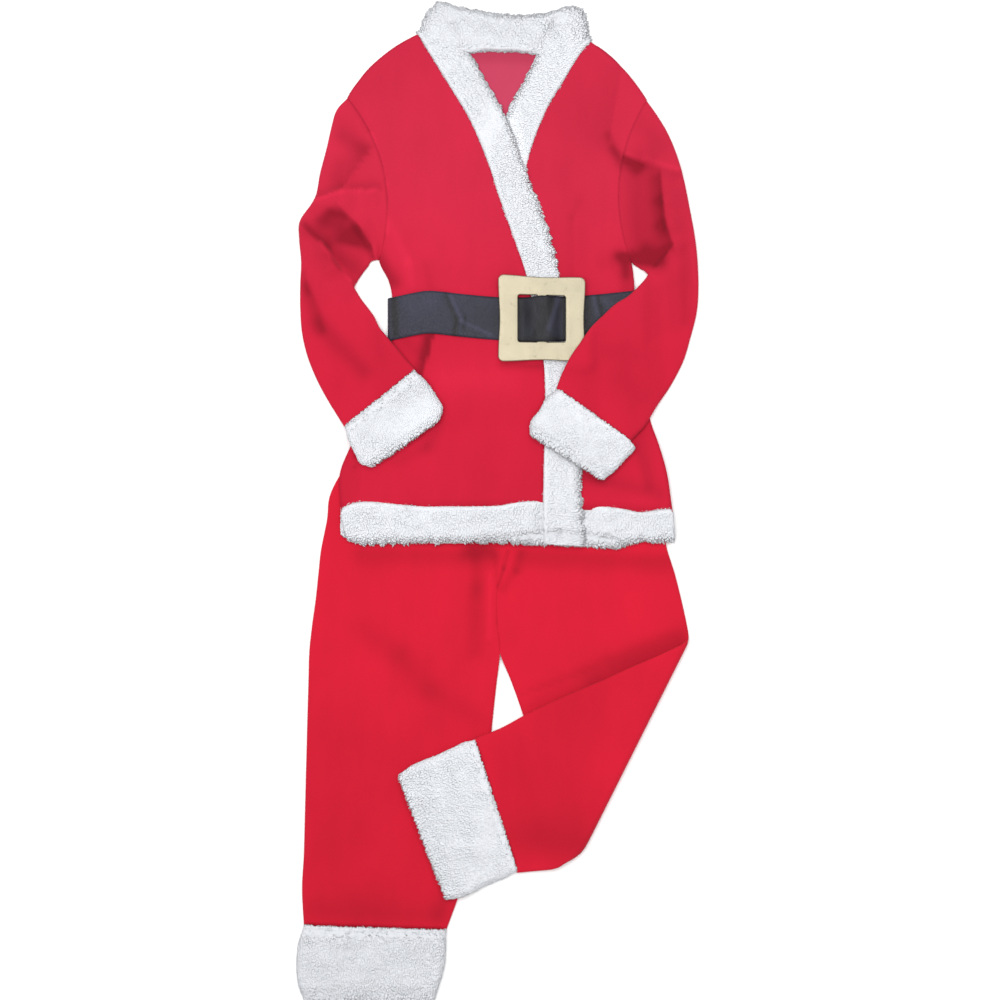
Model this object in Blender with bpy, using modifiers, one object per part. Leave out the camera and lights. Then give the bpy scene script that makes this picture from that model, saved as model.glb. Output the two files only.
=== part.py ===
"""Child's Santa suit laid out flat: a wrap jacket with fur bands, its belt and buckle, and trousers.

Sizes are in millimetres on a cutting board whose +X is the suit's right-hand side as it is seen from
above, +Y runs towards the collar and +Z is up from the table. Each cloth piece is a grid of points: its
rows are sections across the piece, read from a short table, and its height comes from what it lies on.
"""
import math

import bmesh
import bpy
import numpy as np
from mathutils import Vector

MM = 0.001
SUIT = "santa_suit"
BOARD_SHIFT = Vector((1.0, 1.0, 0.0))   # board origin to the middle of the laid suit
WELD = 0.000001                   # merge distance, in metres

# Cloth and trim
FLEECE = 1.3                      # wall of the red fleece
SEAM = 0.3                        # gap between sewn pieces
AIR = 0.4                         # least gap between two layers that lie on each other
FUR = 6.5                         # fur band, pile and backing
FUR_PRESSED = 3.2                 # fur band under another layer or under the belt
COLLAR_HEIGHT = 9.0
PRESS_FADE = 30.0                 # length over which a strip swells up again
CUFF_WALL = 4.8
CUFF_HEIGHT = 12.4
CUFF_EDGE = 8.0                   # depth of a cuff's rounded side
ARMHOLE_GAP = 0.8                 # sleeve head to the curved armhole edge
HEM_BACK_Y = -41.0                # lower edge of the back hem

# Flattened tubes: height over what they lie on
SLEEVE_HEIGHT = 5.8
SLEEVE_MOST = 7.8
LEG_HEIGHT = 5.2
LEG_MOST = 6.0
TUBE_LEAST = 3.4
TUBE_EDGE = 5.0                   # depth of a tube's rounded side
LAYER_LIFT = 0.9                  # slack between the jacket's back and its fronts
ARMHOLE_LIFT = 2.2                # the same along the armholes
LIFT_SHARE = 0.25                 # share of a front's width in which the armhole's slack dies out
ELBOW_Y = 238.0                   # the sleeves lie beside the body above this height, on it below
HIDDEN_BELOW = 345.0              # the under band is pressed flat below this height on the board
BELT_PRESS = (150.0, 252.0)       # stretch of the top band that the belt and buckle press

# Draping
CELL = 2.5                        # spacing of the height map
DRAPE_REACH = 10.0                # how far before a step the cloth starts to rise
DRAPE_SOFT = 7.5                  # rounding of the step
SETTLE_ROUNDS = 10                # how often a layer is lifted clear of what it touches
SETTLE_SHARES = (0.0, 0.2, 0.4, 0.6, 0.8, 1.0)

# Mesh rows and columns
FRONT_COLUMNS = 9
SLEEVE_COLUMNS = 8
LEG_COLUMNS = 9
CUFF_COLUMNS = 6
STRIP_SECTION = (                 # across and up shares of a fur strip's rounded section
    (0.0, 0.15),
    (0.0, 0.6),
    (0.08, 0.9),
    (0.25, 1.0),
    (0.5, 1.0),
    (0.75, 1.0),
    (0.92, 0.9),
    (1.0, 0.6),
    (1.0, 0.15),
    (0.92, 0.0),
    (0.5, 0.0),
    (0.08, 0.0),
)

# Belt and buckle
BELT_WIDTH = 47.0
BELT_THICK = 1.4
BELT_ENDS = (-118.5, 152.5)       # where the belt starts to turn round the jacket's sides
BELT_TURN = 1.6                   # how far each turn bulges past them
BELT_ROWS = 5                     # mesh rows across the belt
BELT_BACK_COLUMNS = 10
BELT_BELOW_BAR = 22.0             # reach of the belt's hump to each side of the buckle's bar
BELT_HUMP_FLAT = 5.5
BUCKLE_CENTRE = Vector((48.0, 201.5, 0.0))
BUCKLE_HALF = 47.8
BUCKLE_WAIST = 1.6                # how far each side pulls in at its middle
BUCKLE_CORNER = 6.0
BUCKLE_BEVEL = 0.6
WINDOW_HALF = 26.2
WINDOW_CORNER = 2.5
BUCKLE_THICK = 3.0
BAR_HALF = 4.0                    # half width of the centre bar behind the belt
BUCKLE_SLACK = 0.6

# Right trouser leg's fold: a line from the outer edge of the knee to the inner edge above the cuff
FOLD_FROM = (212.3, -150.2)
FOLD_TO = (84.7, -404.3)
FOLD_GAP = 0.6                    # between the folded layers
FOLD_HEIGHT = LEG_MOST + FOLD_GAP / 2
FOLD_STEPS = 6

RED = (0.70, 0.03, 0.075)
DEEP_RED = (0.62, 0.02, 0.05)
WHITE_FUR = (0.83, 0.84, 0.88)
BELT_BLACK = (0.045, 0.045, 0.058)
GOLD = (0.78, 0.68, 0.45)

# Section tables: outer x, outer y, inner x, inner y of each row, in mm. The outer end is the one away
# from the suit's middle, or the sewn edge of a band.
SLEEVE_LEFT = (
    (-178, 431, -134, 266),
    (-184, 411, -140, 264),
    (-189, 389, -143, 259),
    (-196, 362, -147, 254),
    (-202, 334, -152, 247),
    (-218, 310, -155, 242),
    (-219, 288, -158, 236),
    (-217, 264, -155, 230),
    (-218, 238, -150, 222),
    (-218, 213, -143, 213),
    (-216, 186, -136, 203),
    (-210, 160, -130, 191),
    (-200, 135, -121, 180),
    (-189, 114, -111, 168),
    (-178, 96, -101, 156),
    (-169, 82, -91, 145),
)
SLEEVE_RIGHT = (
    (175, 426, 151, 260),
    (187, 406, 154, 258),
    (197, 382, 157, 256),
    (205, 354, 161, 254),
    (211, 325, 164, 251),
    (217, 292, 165, 250),
    (220, 264, 162, 245),
    (221, 235, 153, 235),
    (219, 208, 142, 225),
    (212, 180, 129, 217),
    (204, 154, 116, 205),
    (190, 127, 102, 191),
    (175, 105, 90, 174),
    (162, 84, 79, 158),
    (153, 74, 70, 140),
    (146, 67, 64, 124),
)
CUFF_LEFT = (
    (-169, 81, -90, 144),
    (-165, 67, -78, 133),
    (-158, 52, -67, 117),
    (-151, 41, -60, 103),
    (-140, 37, -63, 90),
)
CUFF_RIGHT = (
    (146, 66, 64, 123),
    (151, 57, 53, 115),
    (140, 45, 44, 100),
    (128, 32, 35, 88),
    (116, 23, 34, 74),
)
LEG_LEFT = (
    (-156, 54, 10, 54),
    (-170, 32, 10, 30),
    (-182, 6, 10, 2),
    (-188, -20, 10, -25),
    (-195, -53, 9, -51),
    (-198, -80, 3, -78),
    (-201, -108, -1, -106),
    (-205, -137, 0, -137),
    (-208, -166, 2, -166),
    (-209, -201, -2, -203),
    (-210, -236, -6, -240),
    (-211, -273, -10, -278),
    (-212, -312, -15, -315),
    (-213, -350, -23, -353),
    (-214, -389, -32, -390),
    (-216, -427, -42, -430),
    (-214, -467, -57, -472),
)
LEG_RIGHT = (
    (169, 54, 10, 54),
    (175, 30, 10, 30),
    (178, 2, 10, 2),
    (182, -25, 10, -25),
    (186, -51, 9, -51),
    (195, -80, 3, -78),
    (202, -108, -1, -106),
    (208, -135, 0, -137),
    (213, -163, 2, -166),
    (219, -192, 15, -199),
    (227, -225, 28, -236),
    (234, -258, 40, -276),
    (242, -290, 53, -315),
    (249, -321, 67, -354),
    (254, -349, 82, -391),
    (258, -377, 100, -426),
    (266.4, -407.7, 119, -458),
)
CROTCH_ROW = 8
LEG_CUFF_LEFT = (
    (-215, -467.4, -56, -472.4),
    (-221, -487, -56, -489),
    (-223, -510, -58, -512),
    (-221, -531, -64, -533),
    (-214, -551, -70, -552),
)
LEG_CUFF_RIGHT = (                # before the leg is folded, in line with it
    (266.5, -408.0, 119.1, -458.3),
    (271, -420, 121, -471),
    (277, -449, 127, -495),
    (284, -477, 133, -521),
    (285, -498, 141, -538),
)
BAND_LEFT = (
    (-88, 515, -31, 494),
    (-75, 493, -20, 475),
    (-60, 469, -8, 454),
    (-46, 446, 3, 434),
    (-32, 423, 14, 410),
    (-20, 396, 23, 386),
    (-9, 367, 31, 362),
    (1, 336, 42, 335),
    (11, 308, 52, 308),
    (21, 280, 60, 280),
    (31, 249, 68, 248),
    (38, 218, 76, 217),
    (45, 185, 82, 185),
    (50, 154, 87, 154),
    (52, 123, 90, 123),
    (52, 92, 91, 92),
    (51, 61, 91, 61),
    (50, 32, 91, 30),
    (50, 3, 92, -1),
    (50, -24, 94, -26),
    (51, -46, 95, -49),
)
BAND_RIGHT = (
    (101, 507, 44, 492),
    (87, 488, 35, 476),
    (73, 465, 25, 457),
    (58, 441, 14, 435),
    (47, 418, 6, 419),
    (37, 391, -3, 397),
    (30, 365, -12, 371),
    (21, 335, -21, 343),
    (12, 305, -30, 312),
    (4, 274, -37, 281),
    (-2, 245, -45, 250),
    (-9, 215, -52, 220),
    (-15, 184, -58, 188),
    (-21, 154, -64, 156),
    (-25, 123, -68, 124),
    (-29, 92, -72, 93),
    (-31, 61, -74, 61),
    (-33, 32, -76, 32),
    (-34, 3, -77, 2),
    (-34, -24, -77, -24),
    (-34, -46, -77, -46),
)
COLLAR = (
    (-88.1, 515.4, -30.9, 494.4),
    (-81, 535, -28, 494.8),
    (-66, 550, -21, 496),
    (-40, 545, -12, 496.5),
    (-18, 541, -3, 496.5),
    (6, 537, 7, 496),
    (29, 536, 16, 496),
    (54, 538, 26, 495),
    (77, 546, 34, 494),
    (94, 538, 40, 493),
    (101.1, 507.4, 43.9, 492.4),
)
# Hem strips: top x, top y, bottom x, bottom y of each section along the hem.
HEM_LEFT = (
    (-173, -6, -166, -44),
    (-156, -4, -153, -49),
    (-134, -3, -132, -48),
    (-108, -2, -106, -48),
    (-81, -2, -81, -45),
    (-55, -1, -55, -45),
    (-28, 0, -26, -45),
    (0, 1, 0, -45),
    (24, 2, 24, -47),
    (49, 2, 50, -48),
)
HEM_RIGHT = (
    (-33, 2, -33, -44),
    (8, 0, 8, -44),
    (52, -2, 52, -47),
    (93, -3, 95, -50),
    (112, -4, 116, -52),
    (134, -4, 136, -50),
    (156, -5, 156, -45),
    (176, -6, 176, -45),
    (192, -7, 194, -45),
)
# Armholes: shoulder tip x, y, armpit x, y, bow towards the body
ARMHOLE_LEFT = (-166, 445, -131, 266, 24)
ARMHOLE_RIGHT = (164, 442, 147, 264, -22)
ARMHOLE_ROWS = 8
SHOULDER_BOW = {"jacket_front_left": 8.5, "jacket_front_right": -5.5}     # of the shoulder edges
SHOULDER_FADE = (1.0, 0.55, 0.2)  # share of that bow in the first rows
# Body edges below the armpit: left x, y, right x, y
BODY_EDGES = (
    (-120, 242, 150, 239),
    (-116, 220, 150, 217),
    (-116, 193, 151, 191),
    (-118, 169, 153, 167),
    (-126, 140, 157, 138),
    (-138, 114, 163, 112),
    (-151, 85, 169, 85),
    (-163, 59, 178, 59),
    (-174, 30, 186, 30),
    (-173, -2, 191, -4),
)
# Top edge of the back, shoulder tip to shoulder tip: x, y
NECKLINE = (
    (-166, 445),
    (-145.5, 474.5),
    (-119, 497.5),
    (-88, 514),
    (-60, 508),
    (-31, 504),
    (6, 504),
    (44, 503),
    (72, 505),
    (101, 506),
    (127, 489),
    (146, 466),
    (164, 442),
)
BELT_LINE = ((-130, 198), (-97, 205), (-75, 208), (-45, 205), (0, 201), (50, 201), (97, 203), (165, 210))

# Folds and hollows: from x, y, to x, y, half width, height (negative is a hollow), in mm
SLEEVE_LEFT_FOLDS = (
    (-204, 329, -124, 343, 13, 1.6),
    (-200, 300, -152, 290, 20, -2.4),
    (-215, 307, -160, 238, 12, 1.8),
    (-211, 227, -159, 147, 12, -1.8),
    (-142, 383, -164, 351, 14, 1.2),
)
SLEEVE_RIGHT_FOLDS = (
    (136, 391, 190, 364, 13, 1.6),
    (160, 340, 176, 255, 17, -2.4),
    (183, 361, 191, 281, 9, 1.6),
    (205, 240, 130, 160, 14, -1.6),
)
FRONT_LEFT_FOLDS = (
    (-77, 263, -75, 182, 9, 1.8),
    (-75, 182, -84, 145, 9, 1.2),
    (-100, 400, -60, 300, 22, 1.2),
)
FRONT_RIGHT_FOLDS = (
    (122, 405, 141, 340, 12, 1.4),
    (141, 340, 150, 266, 10, 1.6),
    (86, 331, 86, 252, 14, 1.2),
)
LEG_LEFT_FOLDS = (
    (-20, -59, -25, -108, 12, -1.2),
    (-108, -174, -20, -240, 26, 1.0),
    (-180, -60, -170, -300, 24, 0.8),
)
LEG_RIGHT_FOLDS = (
    (35, -68, 123, -72, 12, -1.0),
    (15, -60, 15, -140, 12, -1.2),
    (120, -250, 60, -330, 24, 1.0),
)


def ease(value):
    """0 to 1 with a soft start and end."""
    value = np.clip(value, 0.0, 1.0)
    return value * value * (3 - 2 * value)


def folds(x, y, table):
    """Height of soft ridges and hollows, each along a line and fading at its ends."""
    height = np.zeros_like(x)
    for from_x, from_y, to_x, to_y, half_width, rise in table:
        along_x = to_x - from_x
        along_y = to_y - from_y
        length = math.hypot(along_x, along_y)
        along = ((x - from_x) * along_x + (y - from_y) * along_y) / length
        across = ((x - from_x) * along_y - (y - from_y) * along_x) / length
        past_end = np.maximum(0, np.abs(along - length / 2) - length / 2)
        height += rise * np.exp(-(across / half_width) ** 2 - (past_end / half_width) ** 2)
    return height


class Ground:
    """Height map of everything that already lies on the table."""

    half_x = 300.0
    half_y = 600.0

    def __init__(self, heights=None):
        shape = (int(2 * self.half_y / CELL) + 1, int(2 * self.half_x / CELL) + 1)
        self.heights = np.zeros(shape) if heights is None else heights

    def copy(self):
        return Ground(self.heights.copy())

    def below(self, limit_y):
        """The same map with nothing on it above a line across the board."""
        kept = self.copy()
        kept.heights[int((limit_y + self.half_y) / CELL):] = 0
        return kept

    def add(self, grid):
        """Lay a grid of points (rows x columns x 3) on the map."""
        for point in inner_points(grid):
            column = np.rint((point[..., 0] + self.half_x) / CELL).astype(int)
            row = np.rint((point[..., 1] + self.half_y) / CELL).astype(int)
            np.maximum.at(self.heights, (row, column), point[..., 2])

    def spread(self, reach):
        """The map with everything on it made wider by a reach."""
        heights = self.heights
        for axis in (0, 1):
            heights = np.max([np.roll(heights, shift, axis) for shift in cells(reach)], axis=0)
        return Ground(heights)

    def draped(self):
        """The surface that cloth takes over the map: its steps spread and rounded."""
        heights = self.spread(DRAPE_REACH).heights
        for axis in (0, 1):
            heights = np.mean([np.roll(heights, shift, axis) for shift in cells(DRAPE_SOFT)], axis=0)
        return Ground(heights)

    def at(self, x, y):
        """Height at any places, read between the map's cells."""
        column = np.clip((x + self.half_x) / CELL, 0, self.heights.shape[1] - 1.001)
        row = np.clip((y + self.half_y) / CELL, 0, self.heights.shape[0] - 1.001)
        left = column.astype(int)
        low = row.astype(int)
        s = column - left
        t = row - low
        lower = self.heights[low, left] * (1 - s) + self.heights[low, left + 1] * s
        upper = self.heights[low + 1, left] * (1 - s) + self.heights[low + 1, left + 1] * s
        return lower * (1 - t) + upper * t


def cells(distance):
    """Shifts, in map cells, that reach a distance both ways."""
    count = int(round(distance / CELL))
    return range(-count, count + 1)


def blended(grid, s, t):
    """One point inside each patch of a grid, at shares s and t of its sides."""
    return (grid[:-1, :-1] * (1 - s) * (1 - t) + grid[1:, :-1] * s * (1 - t)
            + grid[:-1, 1:] * (1 - s) * t + grid[1:, 1:] * s * t)


def inner_points(grid):
    """Points all over a grid, closer together than the height map's cells."""
    places = grid[..., :2]
    down = np.linalg.norm(np.diff(places, axis=0), axis=2).max()
    along = np.linalg.norm(np.diff(places, axis=1), axis=2).max()
    for s in np.linspace(0, 1, int(down / CELL * 1.3) + 2):
        for t in np.linspace(0, 1, int(along / CELL * 1.3) + 2):
            yield blended(grid, s, t)


def settled(places, ground):
    """Underside heights of a layer at its places: at rest on the ground and nowhere in it."""
    rest = ground.draped().at(places[..., 0], places[..., 1])
    rest = rest + AIR * np.minimum(rest, 1)
    near = ground.spread(CELL)
    for _ in range(SETTLE_ROUNDS):
        lift = np.zeros_like(rest)
        for s in SETTLE_SHARES:
            for t in SETTLE_SHARES:
                point = blended(np.dstack([places, rest]), s, t)
                under = near.at(point[..., 0], point[..., 1])
                short = under + AIR * np.minimum(under, 1) - point[..., 2]
                for corner in ((slice(None, -1), slice(None, -1)), (slice(1, None), slice(None, -1)),
                               (slice(None, -1), slice(1, None)), (slice(1, None), slice(1, None))):
                    lift[corner] = np.maximum(lift[corner], short)
        rest = rest + np.maximum(lift, 0)
    return rest


def spread_across(rows, across, bow=None):
    """Board places of the sections' points; across runs from 0 at the outer end to 1 at the inner."""
    outer = rows[:, None, 0:2]
    inner = rows[:, None, 2:4]
    places = outer + (inner - outer) * across[None, :, None]
    if bow is None:
        return places
    chord = (inner - outer)[:, 0]
    side = np.stack([-chord[:, 1], chord[:, 0]], axis=1) / np.linalg.norm(chord, axis=1)[:, None]
    arch = 4 * across * (1 - across)
    return places + side[:, None, :] * bow[:, None, None] * arch[None, :, None]


def trimmed(rows, outer=0.0, inner=0.0):
    """Sections shortened at their ends by seam gaps."""
    chord = rows[:, 2:4] - rows[:, 0:2]
    unit = chord / np.linalg.norm(chord, axis=1)[:, None]
    return np.hstack([rows[:, 0:2] + unit * outer, rows[:, 2:4] - unit * inner])


def make_material(name, colour, roughness, metallic=0.0):
    material = bpy.data.materials.new(name)
    material.use_nodes = True
    shader = material.node_tree.nodes["Principled BSDF"]
    shader.inputs["Base Color"].default_value = (*colour, 1)
    shader.inputs["Roughness"].default_value = roughness
    shader.inputs["Metallic"].default_value = metallic
    material.diffuse_color = (*colour, 1)
    return material


def fleece(name, colour=RED):
    return make_material(name, colour, 0.92)


def white_fur(name):
    return make_material(name, WHITE_FUR, 0.95)


def add_object(name, mesh, material):
    """Put a finished mesh in the suit's collection."""
    piece = bpy.data.objects.new(name, mesh)
    piece.data.materials.append(material)
    bpy.data.collections[SUIT].objects.link(piece)
    return piece


def grid_mesh(name, grid, closed=False, capped=False, looped=False, flat=False):
    """Mesh over a grid of points; closed joins its last column to its first, looped its last row to its
    first, and flat is a single layer."""
    shape = bmesh.new()
    corners = [[shape.verts.new((Vector(point) + BOARD_SHIFT) * MM) for point in row] for row in grid]
    columns = len(corners[0])
    if looped:
        corners.append(corners[0])
    for low, high in zip(corners, corners[1:]):
        for column in range(columns if closed else columns - 1):
            after = (column + 1) % columns
            shape.faces.new((low[column], low[after], high[after], high[column]))
    if capped:
        shape.faces.new(corners[0][::-1])
        shape.faces.new(corners[-1])
    bmesh.ops.remove_doubles(shape, verts=shape.verts, dist=WELD)
    shape.normal_update()
    centre = sum((vert.co for vert in shape.verts), Vector()) / len(shape.verts)
    if flat:
        facing = sum(face.normal.z for face in shape.faces)
    else:
        facing = sum(face.normal.dot(face.calc_center_median() - centre) * face.calc_area()
                     for face in shape.faces)
    if facing < 0:
        bmesh.ops.reverse_faces(shape, faces=shape.faces)
    mesh = bpy.data.meshes.new(name)
    shape.to_mesh(mesh)
    shape.free()
    mesh.shade_smooth()
    return mesh


def add_wall(piece, thickness, offset):
    """Give an open surface its thickness: offset 1 outside it, -1 inside."""
    wall = piece.modifiers.new("wall", "SOLIDIFY")
    wall.thickness = thickness * MM
    wall.offset = offset


def laid(ground, tops):
    """The ground map with more layers on it."""
    ground = ground.copy()
    for top in tops:
        ground.add(top)
    return ground


def add_sheet(name, places, rest, material):
    """Single layer of fleece with its underside at the rest heights; returns its upper side."""
    piece = add_object(name, grid_mesh(name, np.dstack([places, rest]), flat=True), material)
    add_wall(piece, FLEECE, 1.0)
    return np.dstack([places, rest + FLEECE])


def tube_section(columns, edge):
    """Section of a flattened tube: across and up shares, from the seam at the inner edge over the upper
    layer, round the outer edge and back along the lower layer to the seam."""
    inner_turn = np.radians((0, 45))
    outer_turn = np.radians((45, 0, -45))
    upper = np.linspace(1 - edge, edge, columns)
    across = np.concatenate([1 - edge * (1 - np.cos(inner_turn)), upper, edge * (1 - np.cos(outer_turn)),
                             upper[::-1], 1 - edge * (1 - np.cos(inner_turn[::-1]))])
    up = np.concatenate([0.5 + 0.5 * np.sin(inner_turn), np.ones(columns), 0.5 + 0.5 * np.sin(outer_turn),
                         np.zeros(columns), 0.5 - 0.5 * np.sin(inner_turn[::-1])])
    return across, up


def tube_grid(rows, ground, height, columns, edge, bow=None, sewn=None, wall=0.0):
    """Outer surface of a flattened tube. Height gives its thickness at any place; sewn is 1 at rows whose
    inner edge is closed and 0 where its two layers end apart. With a wall the same rows follow again, back
    to the first one, on the inside of the wall."""
    width = float(np.mean(np.linalg.norm(rows[:, 2:4] - rows[:, 0:2], axis=1)))
    across, up = tube_section(columns, edge / width)
    shares, column = np.unique(across.round(6), return_inverse=True)
    flat_places = spread_across(rows, shares, bow)
    rest = settled(flat_places, ground)[:, column]
    places = flat_places[:, column]
    up = np.tile(up, (len(rows), 1))
    if sewn is not None:
        apart = np.round(up)
        apart[:, 0] = 1
        apart[:, -1] = 0
        inner_side = (across > 0.5)[None, :]
        up = np.where(inner_side, up * sewn[:, None] + apart * (1 - sewn[:, None]), up)
    tall = height(places[..., 0], places[..., 1])
    outside = np.dstack([places, rest + up * tall])
    if not wall:
        return outside
    places = spread_across(trimmed(rows, wall, wall), shares)[:, column]
    inside = np.dstack([places, rest + wall + up * (tall - 2 * wall)])
    return np.concatenate([outside, inside[::-1]])


def add_cuff(name, rows, ground, material):
    """Flattened tube of fur."""
    grid = tube_grid(np.array(rows, dtype=float), ground, cuff_height, CUFF_COLUMNS, CUFF_EDGE,
                     wall=CUFF_WALL)
    add_object(name, grid_mesh(name, grid, looped=True), material)


def add_tube(name, grid, wall, material):
    """Flattened tube with its wall inside the grid."""
    piece = add_object(name, grid_mesh(name, grid), material)
    add_wall(piece, wall, -1.0)
    return piece


def add_strip(name, rows, ground, height, material):
    """Strip of fur with rounded edges; height is one number or one for each row. Returns its surface."""
    across = np.array([share for share, _ in STRIP_SECTION])
    up = np.array([share for _, share in STRIP_SECTION])
    shares, column = np.unique(across, return_inverse=True)
    places = spread_across(rows, shares)
    rest = settled(places, ground)[:, column]
    tall = np.broadcast_to(np.reshape(height, (-1, 1)), rest.shape)
    grid = np.dstack([places[:, column], rest + up * tall])
    add_object(name, grid_mesh(name, grid, closed=True, capped=True), material)
    return grid


def armhole(table, count):
    """Places along an armhole seam, shoulder tip to armpit."""
    tip_x, tip_y, pit_x, pit_y, bow = table
    row = np.array([[tip_x, tip_y, pit_x, pit_y]], dtype=float)
    return spread_across(row, np.linspace(0, 1, count), np.array([bow], dtype=float))[0]


def body_sides():
    """Left and right edges of the jacket's body, a place for each row from the shoulder to the hem."""
    edges = np.array(BODY_EDGES, dtype=float)
    left = np.vstack([armhole(ARMHOLE_LEFT, ARMHOLE_ROWS + 1), edges[:, 0:2]])
    right = np.vstack([armhole(ARMHOLE_RIGHT, ARMHOLE_ROWS + 1), edges[:, 2:4]])
    return left, right


def body_lift(rows, across):
    """Slack under a front: none at the seams, most along the armhole, a little over the middle."""
    place = np.linspace(0, 1, rows) * (ARMHOLE_ROWS + len(BODY_EDGES)) / ARMHOLE_ROWS
    arm = ARMHOLE_LIFT * np.sqrt(np.sin(math.pi * np.clip(place, 0, 1)))
    inside = ease(across / LIFT_SHARE)
    middle = LAYER_LIFT * ease(place / 0.6)
    return arm[:, None] * (1 - inside)[None, :] + middle[:, None] * inside[None, :]


def pressed(distance):
    """Height of a fur strip that is held down where the distance is zero or less."""
    return FUR_PRESSED + (FUR - FUR_PRESSED) * ease(distance / PRESS_FADE)


def fold_frame():
    """A point of the fold's centre line, the way along it and the way across it to the far side."""
    start = np.array(FOLD_FROM)
    along = np.array(FOLD_TO) - start
    along = along / np.linalg.norm(along)
    across = np.array([-along[1], along[0]])
    return start - across * FOLD_HEIGHT, along, across


def fold_over(point):
    """Where a point of the flat leg lies once its far side is turned over: round a half circle above
    the leg, then back on top of it."""
    start, along, across = fold_frame()
    offset = np.array(point[:2]) - start
    beyond = float(offset @ across)
    if beyond <= 0:
        return tuple(point)
    turn = min(1.0, beyond / (2 * FOLD_HEIGHT)) * math.pi
    radius = FOLD_HEIGHT - point[2]
    past = max(0.0, beyond - 2 * FOLD_HEIGHT)
    place = start + along * float(offset @ along) + across * (radius * math.sin(turn) - past)
    return (place[0], place[1], FOLD_HEIGHT - radius * math.cos(turn))


def turn_shin_over(piece):
    """Fold a flat leg: cut its mesh along the fold, then move its points."""
    graph = bpy.context.evaluated_depsgraph_get()
    shape = bmesh.new()
    shape.from_object(piece, graph)
    start, _, across = fold_frame()
    for step in range(FOLD_STEPS + 1):
        place = start + across * (2 * FOLD_HEIGHT * step / FOLD_STEPS)
        bmesh.ops.bisect_plane(shape, geom=shape.verts[:] + shape.edges[:] + shape.faces[:], dist=WELD,
                               plane_co=(Vector((*place, 0)) + BOARD_SHIFT) * MM,
                               plane_no=Vector((*across, 0)))
    for vert in shape.verts:
        vert.co = (Vector(fold_over(vert.co / MM - BOARD_SHIFT)) + BOARD_SHIFT) * MM
    piece.modifiers.clear()
    shape.to_mesh(piece.data)
    shape.free()


def tube_height(plain, most, table):
    """Thickness of a flattened tube at any place, with its folds."""
    return lambda x, y: np.clip(plain + folds(x, y, table), TUBE_LEAST, most)


def cuff_height(x, _):
    return np.full_like(x, CUFF_HEIGHT)


def build_trousers():
    """Two legs, each one cut wrapped round its outer side, and their fur cuffs. Returns their surfaces."""
    table = Ground()
    sewn = (np.arange(len(LEG_LEFT)) > CROTCH_ROW).astype(float)
    surfaces = []
    for name, rows, leg_folds in (("leg_left", LEG_LEFT, LEG_LEFT_FOLDS),
                                  ("leg_right", LEG_RIGHT, LEG_RIGHT_FOLDS)):
        rows = trimmed(np.array(rows, dtype=float), inner=SEAM / 2)
        height = tube_height(LEG_HEIGHT, LEG_MOST, leg_folds)
        grid = tube_grid(rows, table, height, LEG_COLUMNS, TUBE_EDGE, sewn=sewn)
        piece = add_tube(name, grid, FLEECE, fleece(name + " fleece", DEEP_RED))
        surfaces.append(grid)
    turn_shin_over(piece)
    turned = [[*fold_over((outer_x, outer_y, 0))[:2], *fold_over((inner_x, inner_y, 0))[:2]]
              for outer_x, outer_y, inner_x, inner_y in LEG_CUFF_RIGHT]
    for name, rows, ground in (("leg_cuff_left", LEG_CUFF_LEFT, table),
                               ("leg_cuff_right", turned, laid(table, surfaces[:1]))):
        add_cuff(name, rows, ground, white_fur(name + " fur"))
    return surfaces


def build_back(ground):
    """Back panel and its strip of hem. Returns their surfaces."""
    left, right = body_sides()
    neck = np.array(NECKLINE, dtype=float)
    across = (neck[:, 0] - neck[0, 0]) / (neck[-1, 0] - neck[0, 0])
    rows = np.hstack([left, right])
    places = spread_across(rows, across)
    roof = neck[:, 1] - places[0, :, 1]
    fade = np.clip(1 - np.arange(len(rows)) / ARMHOLE_ROWS, 0, 1)
    places[..., 1] += fade[:, None] * roof[None, :]
    hem = np.array([[x, y - SEAM, x, HEM_BACK_Y] for x, y in places[-1]])
    return [add_sheet("jacket_back", places, settled(places, ground), fleece("back fleece")),
            add_strip("hem_back", hem, ground, FUR_PRESSED, white_fur("back hem fur"))]


def build_front(name, side, band, table, ground):
    """Front panel between the body's side edge and the seam of its fur band. Returns its upper side."""
    rows = np.hstack([side, band[:len(side), 0:2]])
    across = np.linspace(0, 1, FRONT_COLUMNS)
    bows = np.zeros(len(rows))
    bows[:len(SHOULDER_FADE)] = np.array(SHOULDER_FADE) * SHOULDER_BOW[name]
    places = spread_across(rows, across, bows)
    lift = body_lift(len(rows), across) + folds(places[..., 0], places[..., 1], table)
    return add_sheet(name, places, settled(places, ground) + np.maximum(lift, 0), fleece(name + " fleece"))


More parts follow.
